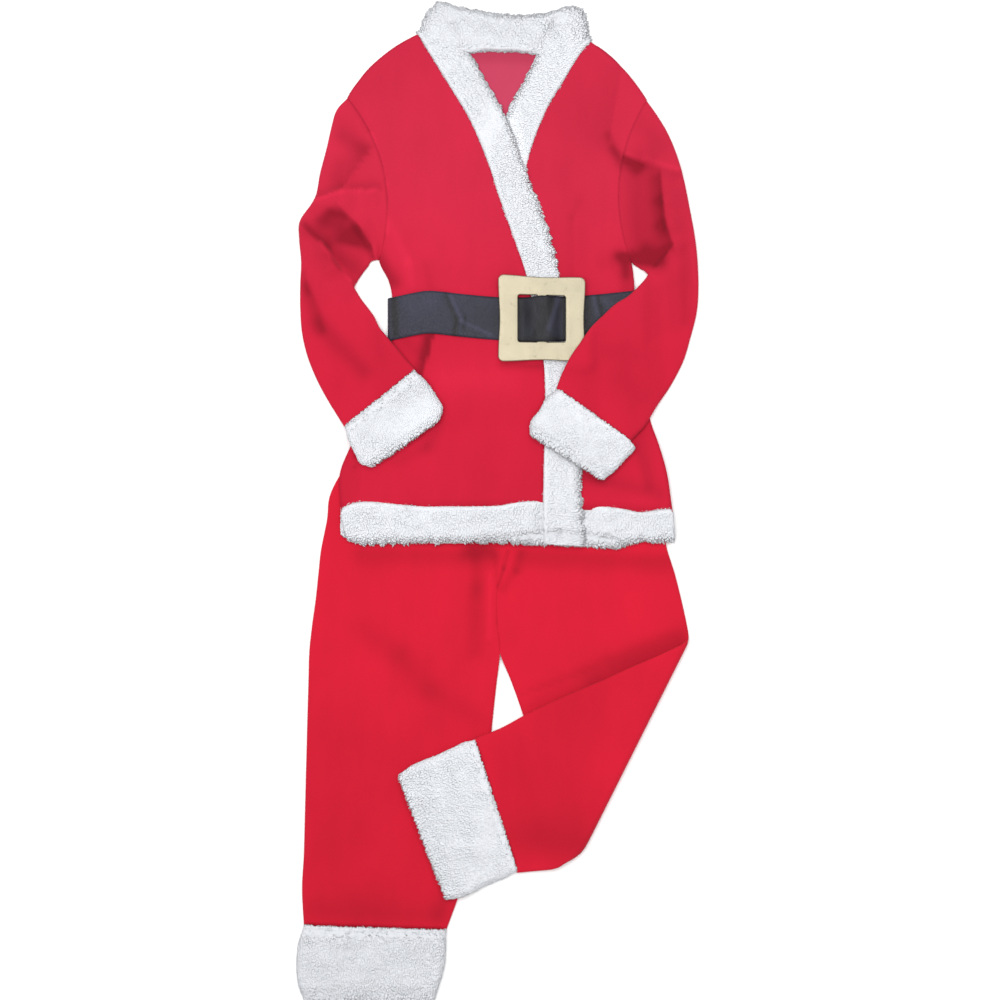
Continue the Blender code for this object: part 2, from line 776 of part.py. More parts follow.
def build_jacket(ground):
    """Back, under front, top front, their fur bands and hems, and the collar. Returns the new ground."""
    left, right = body_sides()
    on_back = laid(ground, build_back(ground))
    band = np.array(BAND_RIGHT, dtype=float)
    hem = np.array(HEM_RIGHT, dtype=float)
    on_under_front = laid(on_back, [
        build_front("jacket_front_right", right, band, FRONT_RIGHT_FOLDS, on_back),
        add_strip("band_right", trimmed(band, outer=SEAM), on_back, pressed(band[:, 1] - HIDDEN_BELOW),
                  white_fur("under band fur")),
        add_strip("hem_right", trimmed(hem, outer=SEAM), on_back, pressed(hem[:, 0] - band_edge()),
                  white_fur("right hem fur"))])
    band = np.array(BAND_LEFT, dtype=float)
    hem = np.array(HEM_LEFT, dtype=float)
    low, high = BELT_PRESS
    beside_belt = np.maximum(band[:, 1] - high, low - band[:, 1])
    return laid(on_under_front, [
        build_front("jacket_front_left", left, band, FRONT_LEFT_FOLDS, on_under_front),
        add_strip("band_left", trimmed(band, outer=SEAM), on_under_front, pressed(beside_belt),
                  white_fur("top band fur")),
        add_strip("hem_left", trimmed(hem, outer=SEAM), on_under_front, FUR, white_fur("left hem fur")),
        add_strip("collar_back", np.array(COLLAR, dtype=float), on_back, COLLAR_HEIGHT,
                  white_fur("collar fur"))])


def band_edge():
    """Where the top band's free edge meets the hem."""
    return float(BAND_LEFT[-1][2])


def belt_places(x):
    """Places of the belt's rows at the given places along it."""
    line = np.array(BELT_LINE, dtype=float)
    middle = np.interp(x, line[:, 0], line[:, 1])
    rows = np.linspace(0.5, -0.5, BELT_ROWS) * BELT_WIDTH
    return np.dstack(np.broadcast_arrays(x[None, :], middle[None, :] + rows[:, None]))


def belt_columns():
    """Places along the belt's front run, closer together where it passes through the buckle."""
    left, right = BELT_ENDS
    middle = BUCKLE_CENTRE.x
    humps = np.array([0, BELT_HUMP_FLAT, 10, 14, 18, BELT_BELOW_BAR, WINDOW_HALF + 3])
    inside = middle + np.concatenate([-humps[:0:-1], humps])
    return np.concatenate([np.linspace(left, inside[0], 12)[:-1], inside,
                           np.linspace(inside[-1], right, 8)[1:]])


def build_belt(ground):
    """Belt round the jacket, and the square buckle that it passes through. Returns the new ground."""
    front_x = belt_columns()
    front = belt_places(front_x)
    rest = settled(front, ground)
    under_frame = ground.heights[frame_cells()].max()
    frame_rest = under_frame + 2 * AIR + BELT_THICK + BUCKLE_SLACK
    bar = np.abs(front_x - BUCKLE_CENTRE.x)
    hump = ease((BELT_BELOW_BAR - bar) / (BELT_BELOW_BAR - BELT_HUMP_FLAT))[None, :]
    over_bar = frame_rest + BUCKLE_THICK + AIR
    rest = rest + np.maximum(over_bar - rest, 0) * hump
    back = belt_places(np.linspace(BELT_ENDS[1], BELT_ENDS[0], BELT_BACK_COLUMNS))
    runs = [np.dstack([front, rest])]
    for end, way, start in ((BELT_ENDS[1], 1, rest[:, -1]), (BELT_ENDS[0], -1, rest[:, 0])):
        turn = []
        for share, bulge in ((0.8, 0.85), (0.5, 1.0), (0.2, 0.85)):
            places = belt_places(np.array([end + way * BELT_TURN * bulge]))
            height = BELT_THICK + share * (start - BELT_THICK)
            turn.append(np.dstack([places, height[:, None]]))
        if way < 0:
            turn.reverse()
        runs.extend(turn)
        if way > 0:
            runs.append(np.dstack([back, np.full(back.shape[:2], BELT_THICK)]))
    mesh = grid_mesh("belt", np.concatenate(runs, axis=1), closed=True)
    piece = add_object("belt", mesh, make_material("belt vinyl", BELT_BLACK, 0.42))
    add_wall(piece, BELT_THICK, 1.0)
    add_buckle(frame_rest)
    frame_top = frame_rest + BUCKLE_THICK
    outline = [[(BUCKLE_CENTRE.x + x * BUCKLE_HALF, BUCKLE_CENTRE.y + y * BUCKLE_HALF, frame_top)
                for x in (-1, 1)] for y in (-1, 1)]
    widened = front.copy()
    widened[:, 0, 0] -= BELT_TURN + BELT_THICK
    widened[:, -1, 0] += BELT_TURN + BELT_THICK
    return laid(ground, [np.dstack([widened, rest + BELT_THICK]), np.array(outline)])


def frame_cells():
    """Cells of the height map under the buckle."""
    low_x, high_x = (int((BUCKLE_CENTRE.x + way * BUCKLE_HALF + Ground.half_x) / CELL) for way in (-1, 1))
    low_y, high_y = (int((BUCKLE_CENTRE.y + way * BUCKLE_HALF + Ground.half_y) / CELL) for way in (-1, 1))
    return slice(low_y, high_y + 1), slice(low_x, high_x + 1)


def rounded_corner(x, y, radius, steps=3):
    """Arc at one corner of a rectangle, turning anticlockwise round the rectangle's middle."""
    start = math.atan2(y, x)
    first = math.floor(start / (math.pi / 2)) * math.pi / 2
    angles = [first + math.pi / 2 * step / steps for step in range(steps + 1)]
    middle_x = x - math.copysign(radius, x)
    middle_y = y - math.copysign(radius, y)
    return [(middle_x + radius * math.cos(angle), middle_y + radius * math.sin(angle)) for angle in angles]


def frame_outline():
    """Outer edge of the buckle: a square with round corners and sides that pull in a little."""
    points = []
    for x, y in ((1, 1), (-1, 1), (-1, -1), (1, -1)):
        points += rounded_corner(x * BUCKLE_HALF, y * BUCKLE_HALF, BUCKLE_CORNER)
        for share in (0.5, 0.0, -0.5):
            along = share * (BUCKLE_HALF - BUCKLE_CORNER) * 1.1
            out = BUCKLE_HALF - BUCKLE_WAIST * math.cos(share * math.pi / 2)
            points.append((x * along, y * out) if x == y else (x * out, y * along))
    return points


def window_outline(side):
    """One of the two openings beside the centre bar."""
    half = (WINDOW_HALF - BAR_HALF) / 2
    middle = side * (WINDOW_HALF + BAR_HALF) / 2
    corners = []
    for x, y in ((1, 1), (-1, 1), (-1, -1), (1, -1)):
        corners += rounded_corner(x * half, y * WINDOW_HALF, WINDOW_CORNER, steps=2)
    return [(middle + x, y) for x, y in corners]


def add_buckle(rest):
    """Square slide buckle: a flat outline with two windows, given its thickness and soft edges."""
    outline = bpy.data.curves.new("buckle outline", "CURVE")
    outline.dimensions = "2D"
    outline.fill_mode = "BOTH"
    outline.bevel_depth = BUCKLE_BEVEL * MM
    outline.bevel_resolution = 1
    outline.offset = -BUCKLE_BEVEL * MM
    outline.extrude = (BUCKLE_THICK / 2 - BUCKLE_BEVEL) * MM
    for points in (frame_outline(), window_outline(-1), window_outline(1)):
        spline = outline.splines.new("POLY")
        spline.points.add(len(points) - 1)
        for point, (x, y) in zip(spline.points, points):
            point.co = (x * MM, y * MM, 0, 1)
        spline.use_cyclic_u = True
    guide = bpy.data.objects.new("buckle outline", outline)
    bpy.data.collections[SUIT].objects.link(guide)
    mesh = bpy.data.meshes.new_from_object(guide.evaluated_get(bpy.context.evaluated_depsgraph_get()))
    bpy.data.objects.remove(guide)
    shape = bmesh.new()
    shape.from_mesh(mesh)
    bmesh.ops.remove_doubles(shape, verts=shape.verts, dist=WELD)
    middle = BUCKLE_CENTRE + Vector((0, 0, rest + BUCKLE_THICK / 2)) + BOARD_SHIFT
    bmesh.ops.translate(shape, verts=shape.verts, vec=middle * MM)
    shape.to_mesh(mesh)
    shape.free()
    mesh.materials.clear()
    mesh.shade_smooth()
    mesh.set_sharp_from_angle(angle=math.radians(50))
    add_object("buckle", mesh, make_material("satin gold", GOLD, 0.38, 0.85))


def build_sleeve(name, arm, table, sleeve_folds, ground, gap):
    """Sleeve: a flattened tube from the armhole seam to the cuff."""
    tip_x, tip_y, pit_x, pit_y, bow = arm
    rows = np.array([(tip_x + gap, tip_y, pit_x + gap, pit_y), *table], dtype=float)
    bows = np.zeros(len(rows))
    bows[0] = bow
    height = tube_height(SLEEVE_HEIGHT, SLEEVE_MOST, sleeve_folds)
    grid = tube_grid(rows, ground, height, SLEEVE_COLUMNS, TUBE_EDGE, bow=bows)
    add_tube(name, grid, FLEECE, fleece(name + " fleece"))


def build_arms(ground):
    """Sleeves and their fur cuffs; the upper arms lie on the table, the forearms across the jacket."""
    sides = (
        ("left", ARMHOLE_LEFT, SLEEVE_LEFT, SLEEVE_LEFT_FOLDS, CUFF_LEFT, -ARMHOLE_GAP),
        ("right", ARMHOLE_RIGHT, SLEEVE_RIGHT, SLEEVE_RIGHT_FOLDS, CUFF_RIGHT, ARMHOLE_GAP),
    )
    under_arms = ground.below(ELBOW_Y)
    for side, arm, sleeve, sleeve_folds, cuff, gap in sides:
        build_sleeve("sleeve_" + side, arm, sleeve, sleeve_folds, under_arms, gap)
        add_cuff("cuff_" + side, cuff, under_arms, white_fur("cuff fur " + side))


def clear_scene():
    for item in list(bpy.data.objects):
        bpy.data.objects.remove(item, do_unlink=True)
    bpy.context.scene.collection.children.link(bpy.data.collections.new(SUIT))


def main():
    clear_scene()
    table = laid(Ground(), build_trousers())
    under_belt = belt_places(np.linspace(*BELT_ENDS, BELT_BACK_COLUMNS))
    table.add(np.dstack([under_belt, np.full(under_belt.shape[:2], BELT_THICK)]))
    on_jacket = build_jacket(table)
    build_arms(build_belt(on_jacket))


main()
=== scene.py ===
"""Dressing of a child's Santa suit laid out flat: fleece, fur, vinyl belt, gold buckle and stage."""

import functools
import math

import bmesh
import bpy
import numpy as np
from bpy.props import FloatProperty, FloatVectorProperty, PointerProperty
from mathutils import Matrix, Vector


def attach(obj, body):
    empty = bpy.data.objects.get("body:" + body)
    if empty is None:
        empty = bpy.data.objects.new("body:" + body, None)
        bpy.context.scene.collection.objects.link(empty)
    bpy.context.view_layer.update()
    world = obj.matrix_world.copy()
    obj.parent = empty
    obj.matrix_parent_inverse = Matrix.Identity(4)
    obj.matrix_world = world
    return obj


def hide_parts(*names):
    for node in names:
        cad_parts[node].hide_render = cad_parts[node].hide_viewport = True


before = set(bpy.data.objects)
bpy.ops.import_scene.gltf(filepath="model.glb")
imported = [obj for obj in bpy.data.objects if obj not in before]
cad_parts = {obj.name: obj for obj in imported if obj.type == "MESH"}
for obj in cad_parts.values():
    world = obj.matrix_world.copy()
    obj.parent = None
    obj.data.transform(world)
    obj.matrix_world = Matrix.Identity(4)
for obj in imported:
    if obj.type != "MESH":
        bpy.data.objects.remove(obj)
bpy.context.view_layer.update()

bl_info = {
    "name": "Santa Suit Dressing",
    "version": (1, 0, 0),
    "blender": (4, 5, 0),
    "location": "View3D > Sidebar > Santa Suit",
    "description": "Fleece, fur pile, belt, buckle and stage of a child's Santa suit laid flat",
    "category": "Object",
}

MM = 0.001
BODY = "root"
BOARD_SHIFT = np.array((1.0, 1.0, 0.0))  # cutting board's origin to the middle of the laid suit, in mm
WELD = 0.000001  # merge distance, in metres

# Cloth, in mm
FLEECE = 1.3
AIR = 0.4  # between layers
SEAM = 0.3  # between the back and its hem
ARMHOLE_GAP = -0.25  # between a front and its sleeve: less than 0, so that they meet
LEG_GAP = -0.3  # the same between the legs, at their centre seam

# Fur trim, in mm
FUR = 6.5
FUR_PRESSED = 3.2  # where something lies on it
PRESS_FADE = 30.0  # over which it rises to its full height
LEAST_HEIGHT = 0.0001  # of its locks above the floor, in metres
TIP_REACH = 1.3  # how far the pile stands out of a strip's body
EDGE_REACH = 2.2  # how far it stands past a strip's free edge
FUR_OVERLAP = 0.6  # how far a strip reaches over the cloth that it is sewn to
STRIP_OVERLAP = 3.0  # how far it reaches over the next strip
FUR_SLOPE = 9.0  # how far a strip's free edge slopes down
BAND_SLOPE = 8.0  # the same for the bands down the fronts
SEWN_SLOPE = 4.0  # the same at the sewn edges
FUR_COLUMNS = 20  # points across the top of a strip
UNDER_COLUMNS = 5  # and along its underside
HIDDEN_BELOW = 345.0  # where the under band goes in under the wrap
BELT_PRESS = (150.0, 252.0)  # the stretch of the top band that the belt holds down
BAND_DIP = 0.2  # share of its height that the top band loses at its end
DIP_FROM = 4.0  # above the hem's sewn edge, where that starts
DIP_FADE = 14.0
HEM_ROUND = 4.5  # radius of the hems' corners
HEM_TUCK = 9.0  # how far the fronts go in under their hems
HEM_BACK_Y = -41.0  # lower edge of the back's hem
HEM_BACK_HEIGHT = FUR_PRESSED + 0.4 * TIP_REACH
HEM_DIVE = 0.5  # share of its height that the top hem loses under the top band
DIVE_FROM = 14.0  # outside the band, where that starts
DIVE_FADE = 12.0
COLLAR_HEIGHT = 9.0
COLLAR_RISE = 0.3  # share of the collar's length over which it rises to that
CUFF_WALL = 3.6
CUFF_HEIGHT = 12.4
CUFF_BODY = CUFF_HEIGHT - 1.5 * TIP_REACH  # its height without the pile
CUFF_EDGE = 8.0  # how far a cuff's long edges are rounded
CUFF_INSET = 1.4  # how far its body stays inside the fur
CUFF_STEPS = 6  # fine rows to each row of a cuff's table
CUFF_ROUND_ROWS = 6  # fine rows over which its end is rounded
CUFF_END_ROW = 0.6  # where its last row counts as being, from its end
CUFF_ROUND = 0.3  # share of its height that it loses there

# Sleeves and legs, flattened tubes: height over what they lie on, in mm
SLEEVE_HEIGHT = 5.8
SLEEVE_MOST = 15.0
LEG_HEIGHT = 5.2
LEG_MOST = 6.0
TUBE_LEAST = 3.2
TUBE_EDGE = 5.0  # how far a tube's long edges are rounded
TURN_STEP = 15  # angle between points round such an edge, in degrees
ELBOW_Y = 238.0  # above this line the sleeves lie on the table
SEAM_ROWS = 7  # fine rows over which a sleeve leaves the front's height
SEAM_LIMITS = (0.3, 2.0)  # smallest and largest factor on its own height there

# Slack of the fronts, in mm
LAYER_LIFT = 0.9  # over their middle
ARMHOLE_LIFT = 2.2  # along the armhole
LIFT_SHARE = 0.25  # share of the width over which one turns into the other
LIFT_FROM = 0.6  # share of the armhole's length over which the first sets in
FRONT_SLACK = 0.4  # under everything but the side seam
SLACK_SHARE = 0.1  # share of the width over which that sets in
LEAST_LIFT = -0.3
BACK_SLACK = 0.25
PUCKER_RISE = 0.35  # height of the puckers along a seam
PUCKER_REACH = 9.0  # how far they run into the cloth

# Slight unevenness: strength and size of the swells on each kind of surface, in mm
TUBE_SWELLS = ((0.35, 70), (0.12, 24))
FRONT_SWELLS = ((0.4, 75), (0.12, 26))
STRIP_SWELLS = ((0.15, 18), (0.3, 38))
CUFF_SWELLS = ((0.15, 20), (0.35, 42))
EDGE_SWELLS = ((1.1, 13),)  # of a strip's free edge
PUCKER_SWELLS = ((1.0, 17), (0.6, 9))
BACK_SWELL_SIZE = 45
SWELL_WAVES = 14  # waves that add up to swells

# Draping
CELL = 2.5  # of the height map, in mm
DRAPE_REACH = 10.0  # how far a layer spans from a step under it
DRAPE_SOFT = 7.5  # how far that step is rounded
POINT_SHARE = 1.3  # points to a cell when a grid is laid on the map
ROW_STEPS = 8  # fine rows to each row of a table
BACK_STEPS = 5  # the same for the back
FINE = 3.2  # mesh spacing across the cloth

# Belt and buckle
BELT_WIDTH = 47.0
BELT_THICK = 1.4
BELT_ENDS = (-118.5, 152.5)  # where it turns to the back
BELT_TURN = 1.6  # how far it reaches past them
BELT_TURN_ANGLES = (70, -90, -20)  # first, end and step round that turn, in degrees
BELT_ROWS = 17
BELT_STEP = 2.2  # between points along its front
BACK_COLUMNS = 40  # points along its back
BELT_BELOW_BAR = 22.0  # from the bar's middle to where the belt leaves the jacket
BELT_HUMP_FLAT = 5.5  # from the bar's middle to where it lies flat over the bar
BELT_SPREAD = (1.4, 2.2)  # how much it spreads up and down inside its buckle's window
BELT_LEAN = 0.06  # how much less it spreads up for each mm to the right
SPREAD_FADE = 6.0  # over which it spreads at the window's edge
SPREAD_FROM = 12.0  # left of the bar's middle, where it starts to spread up
BELT_CREASE = (-1.2, 3.0)  # lowest and highest that its creases go
BAR_CREASE = 1.1  # how much less low they go over the bar
BAR_CREASE_ENDS = (5.0, 10.0)  # from the bar's middle, where that starts to fade and ends
BUCKLE_CENTRE = (48.0, 201.5)
BUCKLE_HALF = 47.8
BUCKLE_WAIST = 1.6  # how far its sides pull in
BUCKLE_CORNER = 6.0
BUCKLE_THICK = 3.0
BUCKLE_SLACK = 0.6  # between it and the belt under it
BUCKLE_SKEW = 3.6  # how much lower its far top corner is
WINDOW_HALF = 26.2
WINDOW_CORNER = 2.5
BAR_HALF = 4.0
LONG_EDGE = 0.012  # edges of its mesh that are longer, in metres, are divided
LONG_EDGE_CUTS = 3
SHARP_ANGLE = 50  # edges that turn by more degrees are sharp
SQUARE = ((1, 1), (-1, 1), (-1, -1), (1, -1))  # ways from the middle to the corners
FRAME_ARC = 6  # steps round a corner of its outline
WINDOW_ARC = 5  # and round one of its windows' corners
SIDE_POINTS = 13  # points along a side
SIDE_SHARE = 0.75  # how much of a side they take up

# Right trouser leg's fold
FOLD_FROM = (212.3, -150.2)
FOLD_TO = (84.7, -404.3)
FOLD_GAP = 0.6  # between the two layers of the leg
FOLD_HEIGHT = LEG_MOST + FOLD_GAP / 2
FOLD_STEPS = 12  # between the cuts round the fold
FOLD_CORNER = (86.0, -405.0)  # the soft corner at its lower end
CORNER_PULL = (-6.5, 5.5)  # how far that is drawn in
CORNER_REACH = 15.0
SHIN_SAG = 5.0  # how far the folded shin sinks where nothing is under it
SHIN_LIFT = 2.0  # and how far it rises over folds under it
SHIN_FADE = 18.0  # from the fold to where it does so in full
SHIN_DRAPE = 14.0  # how far it spans from a step under it

# Pile: what a lock of fur is like, and how the locks stand
LOCK_SIDES = 3
LOCK_RINGS = ((0.0, 0.45), (0.58, 0.58))  # height and radius of each ring of its corners
LOCK_FLAT = 0.34  # thickness as a share of the width
LOCK_BEND = 0.7  # how far it bends over, growing with the height squared
LOCK_TIP = 0.95  # how far its tip is bent over
LOCK_SIZES = (0.7, 1.2)  # smallest and largest, as shares of the set size
LOCK_TWIST = 0.35  # how much their flat sides are turned at random
LOCK_GAP = 0.72  # least distance between two, as a share of their spacing
DRIFT_SCALE = 150.0  # swirls to a metre
DRIFT = (4.8, 4.5)  # its strength for each unit of the comb's, and what is taken off
BED_LIFT = 0.9  # how far upwards the fur under a lock counts as facing
BED_LIGHT = 4.0  # how strongly a lock's sides are lit as that fur is
BED_WRAP = 0.3  # how far a side may face away from it and still be
COMB_BACK = 0.6  # how strongly the pile is combed back over a sewn edge
COMB_FLARE = 0.5  # how much more strongly it is combed at the free edge
COMB_ALONG = 0.25  # how strongly it is combed along a strip
COMB_TURN = 0.24  # share of a strip's width over which the comb turns over
CUFF_COMB_TURN = 0.2  # the same along a cuff
LOOSE_COMB = 0.4  # how much more it is combed back at a loose edge
LOOSE_TURN = 0.3  # share of the width over which that fades
LOOSE_FADE = 10.0  # along the strip, over which an edge gets loose, in mm
THIN_PILE = 0.3  # density of the pile where little of it shows
LINING_PILE = 0.12  # the same inside a cuff
CUFF_PILE_DEPTH = 3.0  # below a cuff's middle height, where its pile gets thin, in mm
COVER_MARGIN = 8.0  # how far a hem's full pile goes in under the band, in mm
HEM_SHOWS_BELOW = -22.0  # where the under hem shows below the band
BAND_COVER_MARGIN = 30.0  # how far the under band's pile goes in under the wrap, in mm

# Fleece: tints of its two colours, as factors
DEEP = (1.0, 0.58, 0.70)  # from the bright red to the deep one
NAP_TINTS = (0.84, 1.13)  # where the nap lies away from the light and towards it
INSIDE_TINTS = (0.9, 1.08)
SHADE_TINTS = (0.42, 1.7)  # of the painted shade in the deepest creases and of the painted highlight on the brightest ridges
SHADE_STRENGTH = 0.9
DEEP_BELOW = (0.12, 0.40)  # heights on the suit between which the deep red gives way to the bright one above, a painted sheen on the upper part, in metres

# Section tables: outer x, outer y, inner x, inner y of each row, in mm. The outer end is the one away
# from the suit's middle, or the sewn edge of a band.
SLEEVE_LEFT = (
    (-178, 431, -134, 266),
    (-184, 411, -140, 264),
    (-189, 389, -143, 259),
    (-196, 362, -147, 254),
    (-202, 334, -152, 247),
    (-218, 310, -155, 242),
    (-219, 288, -158, 236),
    (-217, 264, -155, 230),
    (-218, 238, -150, 222),
    (-218, 213, -143, 213),
    (-216, 186, -136, 203),
    (-210, 160, -130, 191),
    (-200, 135, -121, 180),
    (-189, 114, -111, 168),
    (-178, 96, -101, 156),
    (-169, 82, -91, 145),
)
SLEEVE_RIGHT = (
    (175, 426, 151, 260),
    (187, 406, 154, 258),
    (197, 382, 157, 256),
    (205, 354, 161, 254),
    (211, 325, 164, 251),
    (217, 292, 165, 250),
    (220, 264, 162, 245),
    (221, 235, 153, 235),
    (219, 208, 142, 225),
    (212, 180, 129, 217),
    (204, 154, 116, 205),
    (190, 127, 102, 191),
    (175, 105, 90, 174),
    (162, 84, 79, 158),
    (153, 74, 70, 140),
    (146, 67, 64, 124),
)
CUFF_LEFT = (
    (-169, 81, -90, 144),
    (-165, 67, -78, 133),
    (-158, 52, -67, 117),
    (-151, 41, -60, 103),
    (-140, 37, -63, 90),
)
CUFF_RIGHT = (
    (146, 66, 64, 123),
    (151, 57, 53, 115),
    (140, 45, 44, 100),
    (128, 32, 35, 88),
    (116, 23, 34, 74),
)
LEG_LEFT = (
    (-156, 54, 10, 54),
    (-172.5, 32, 10, 30),
    (-185.5, 6, 10, 2),
    (-188.5, -20, 10, -25),
    (-195, -53, 9, -51),
    (-198, -80, 3, -78),
    (-201, -108, -1, -106),
    (-205, -137, 0, -137),
    (-208, -166, 2, -166),
    (-209, -201, -2, -203),
    (-210, -236, -6, -240),
    (-211, -273, -10, -278),
    (-212, -312, -15, -315),
    (-213, -350, -23, -353),
    (-214, -389, -32, -390),
    (-216, -427, -42, -430),
    (-214, -467, -57, -472),
)
LEG_RIGHT = (
    (169, 54, 10, 54),
    (175, 30, 10, 30),
    (178, 2, 10, 2),
    (182, -25, 10, -25),
    (186, -51, 9, -51),
    (195, -80, 3, -78),
    (202, -108, -1, -106),
    (208, -135, 0, -137),
    (213, -163, 2, -166),
    (219, -192, 15, -199),
    (227, -225, 28, -236),
    (234, -258, 40, -276),
    (242, -290, 53, -315),
    (249, -321, 67, -354),
    (254, -349, 82, -391),
    (258, -377, 100, -426),
    (266.4, -407.7, 119, -458),
)
CROTCH_ROW = 8  # of the legs' tables, down to which they are sewn to each other
LEG_CUFF_LEFT = (
    (-215, -467.4, -56, -472.4),
    (-221, -487, -56, -489),
    (-223, -510, -58, -512),
    (-221, -531, -64, -533),
    (-214, -551, -70, -552),
)
LEG_CUFF_RIGHT = (  # before the leg is folded, in line with it
    (266.5, -408.0, 119.1, -458.3),
    (271, -420, 121, -471),
    (277, -449, 127, -495),
    (284, -477, 133, -521),
    (285, -498, 141, -538),
)
BAND_LEFT = (
    (-88, 515, -31, 494),
    (-75, 493, -20, 475),
    (-60, 469, -8, 454),
    (-46, 446, 3, 434),
    (-32, 423, 14, 410),
    (-20, 396, 23, 386),
    (-9, 367, 31, 362),
    (1, 336, 42, 335),
    (11, 308, 52, 308),
    (21, 280, 60, 280),
    (31, 249, 68, 248),
    (38, 218, 76, 217),
    (45, 185, 82, 185),
    (50, 154, 87, 154),
    (52, 123, 90, 123),
    (52, 92, 91, 92),
    (51, 61, 91, 61),
    (50, 32, 91, 30),
    (50, 3, 92, -1),
    (50, -24, 94, -26),
    (51, -46, 95, -49),
)
BAND_RIGHT = (
    (101, 507, 44, 492),
    (87, 488, 35, 476),
    (73, 465, 25, 457),
    (58, 441, 14, 435),
    (47, 418, 6, 419),
    (37, 391, -3, 397),
    (30, 365, -12, 371),
    (21, 335, -21, 343),
    (12, 305, -30, 312),
    (4, 274, -37, 281),
    (-2, 245, -45, 250),
    (-9, 215, -52, 220),
    (-15, 184, -58, 188),
    (-21, 154, -64, 156),
    (-25, 123, -68, 124),
    (-29, 92, -72, 93),
    (-31, 61, -74, 61),
    (-33, 32, -76, 32),
    (-34, 3, -77, 2),
    (-34, -24, -77, -24),
    (-34, -46, -77, -46),
)
COLLAR = (
    (-88.1, 515.4, -30.9, 494.4),
    (-81, 535, -28, 494.8),
    (-66, 550, -21, 496),
    (-40, 545, -12, 496.5),
    (-18, 541, -3, 496.5),
    (6, 537, 7, 496),
    (29, 536, 16, 496),
    (54, 538, 26, 495),
    (77, 546, 34, 494),
    (94, 538, 40, 493),
    (101.1, 507.4, 43.9, 492.4),
)
# Hem strips: top x, top y, bottom x, bottom y of each section along the hem.
HEM_LEFT = (
    (-173, -8, -166, -44),
    (-156, -1.5, -153, -47.5),
    (-134, -0.5, -132, -46.5),
    (-108, -3.5, -106, -46.5),
    (-81, -5.5, -81, -45),
    (-55, -5.5, -55, -45),
    (-28, -5.5, -26, -45),
    (0, -4.5, 0, -45),
    (24, -0.5, 24, -47),
    (49, 0.5, 50, -48),
)
HEM_RIGHT = (
    (-33, 2, -33, -44),
    (8, 0, 8, -44),
    (52, -2, 52, -47),
    (93, -4, 95, -50),
    (112, -5, 116, -52),
    (134, -7.5, 136, -50),
    (156, -12, 156, -45),
    (176, -9.5, 176, -45),
    (192, -8.5, 194, -45),
)
# Armholes: shoulder tip x, y, armpit x, y, bow towards the body
ARMHOLE_LEFT = (-166, 445, -131, 266, 24)
ARMHOLE_RIGHT = (164, 442, 147, 264, -22)
ARMHOLE_ROWS = 8
SHOULDER_BOW = {"jacket_front_left": 8.5, "jacket_front_right": -5.5}  # of the shoulder edges
SHOULDER_REACH = 55.0  # how far down a front that bow fades out
# Body edges below the armpit: left x, y, right x, y
BODY_EDGES = (
    (-120, 242, 150, 239),
    (-116, 220, 150, 217),
    (-116, 193, 151, 191),
    (-118, 169, 153, 167),
    (-126, 140, 157, 138),
    (-138, 114, 163, 112),
    (-151, 85, 169, 85),
    (-163, 59, 178, 59),
    (-174, 30, 186, 30),
    (-173, -2, 191, -4),
)
# Top edge of the back, shoulder tip to shoulder tip: x, y
NECKLINE = (
    (-166, 445),
    (-145.5, 474.5),
    (-119, 497.5),
    (-88, 514),
    (-60, 508),
    (-31, 504),
    (6, 504),
    (44, 503),
    (72, 505),
    (101, 506),
    (127, 489),
    (146, 466),
    (164, 442),
)
BELT_LINE = ((-130, 198), (-97, 205), (-75, 208), (-45, 205), (0, 201), (50, 201), (97, 203), (165, 210))

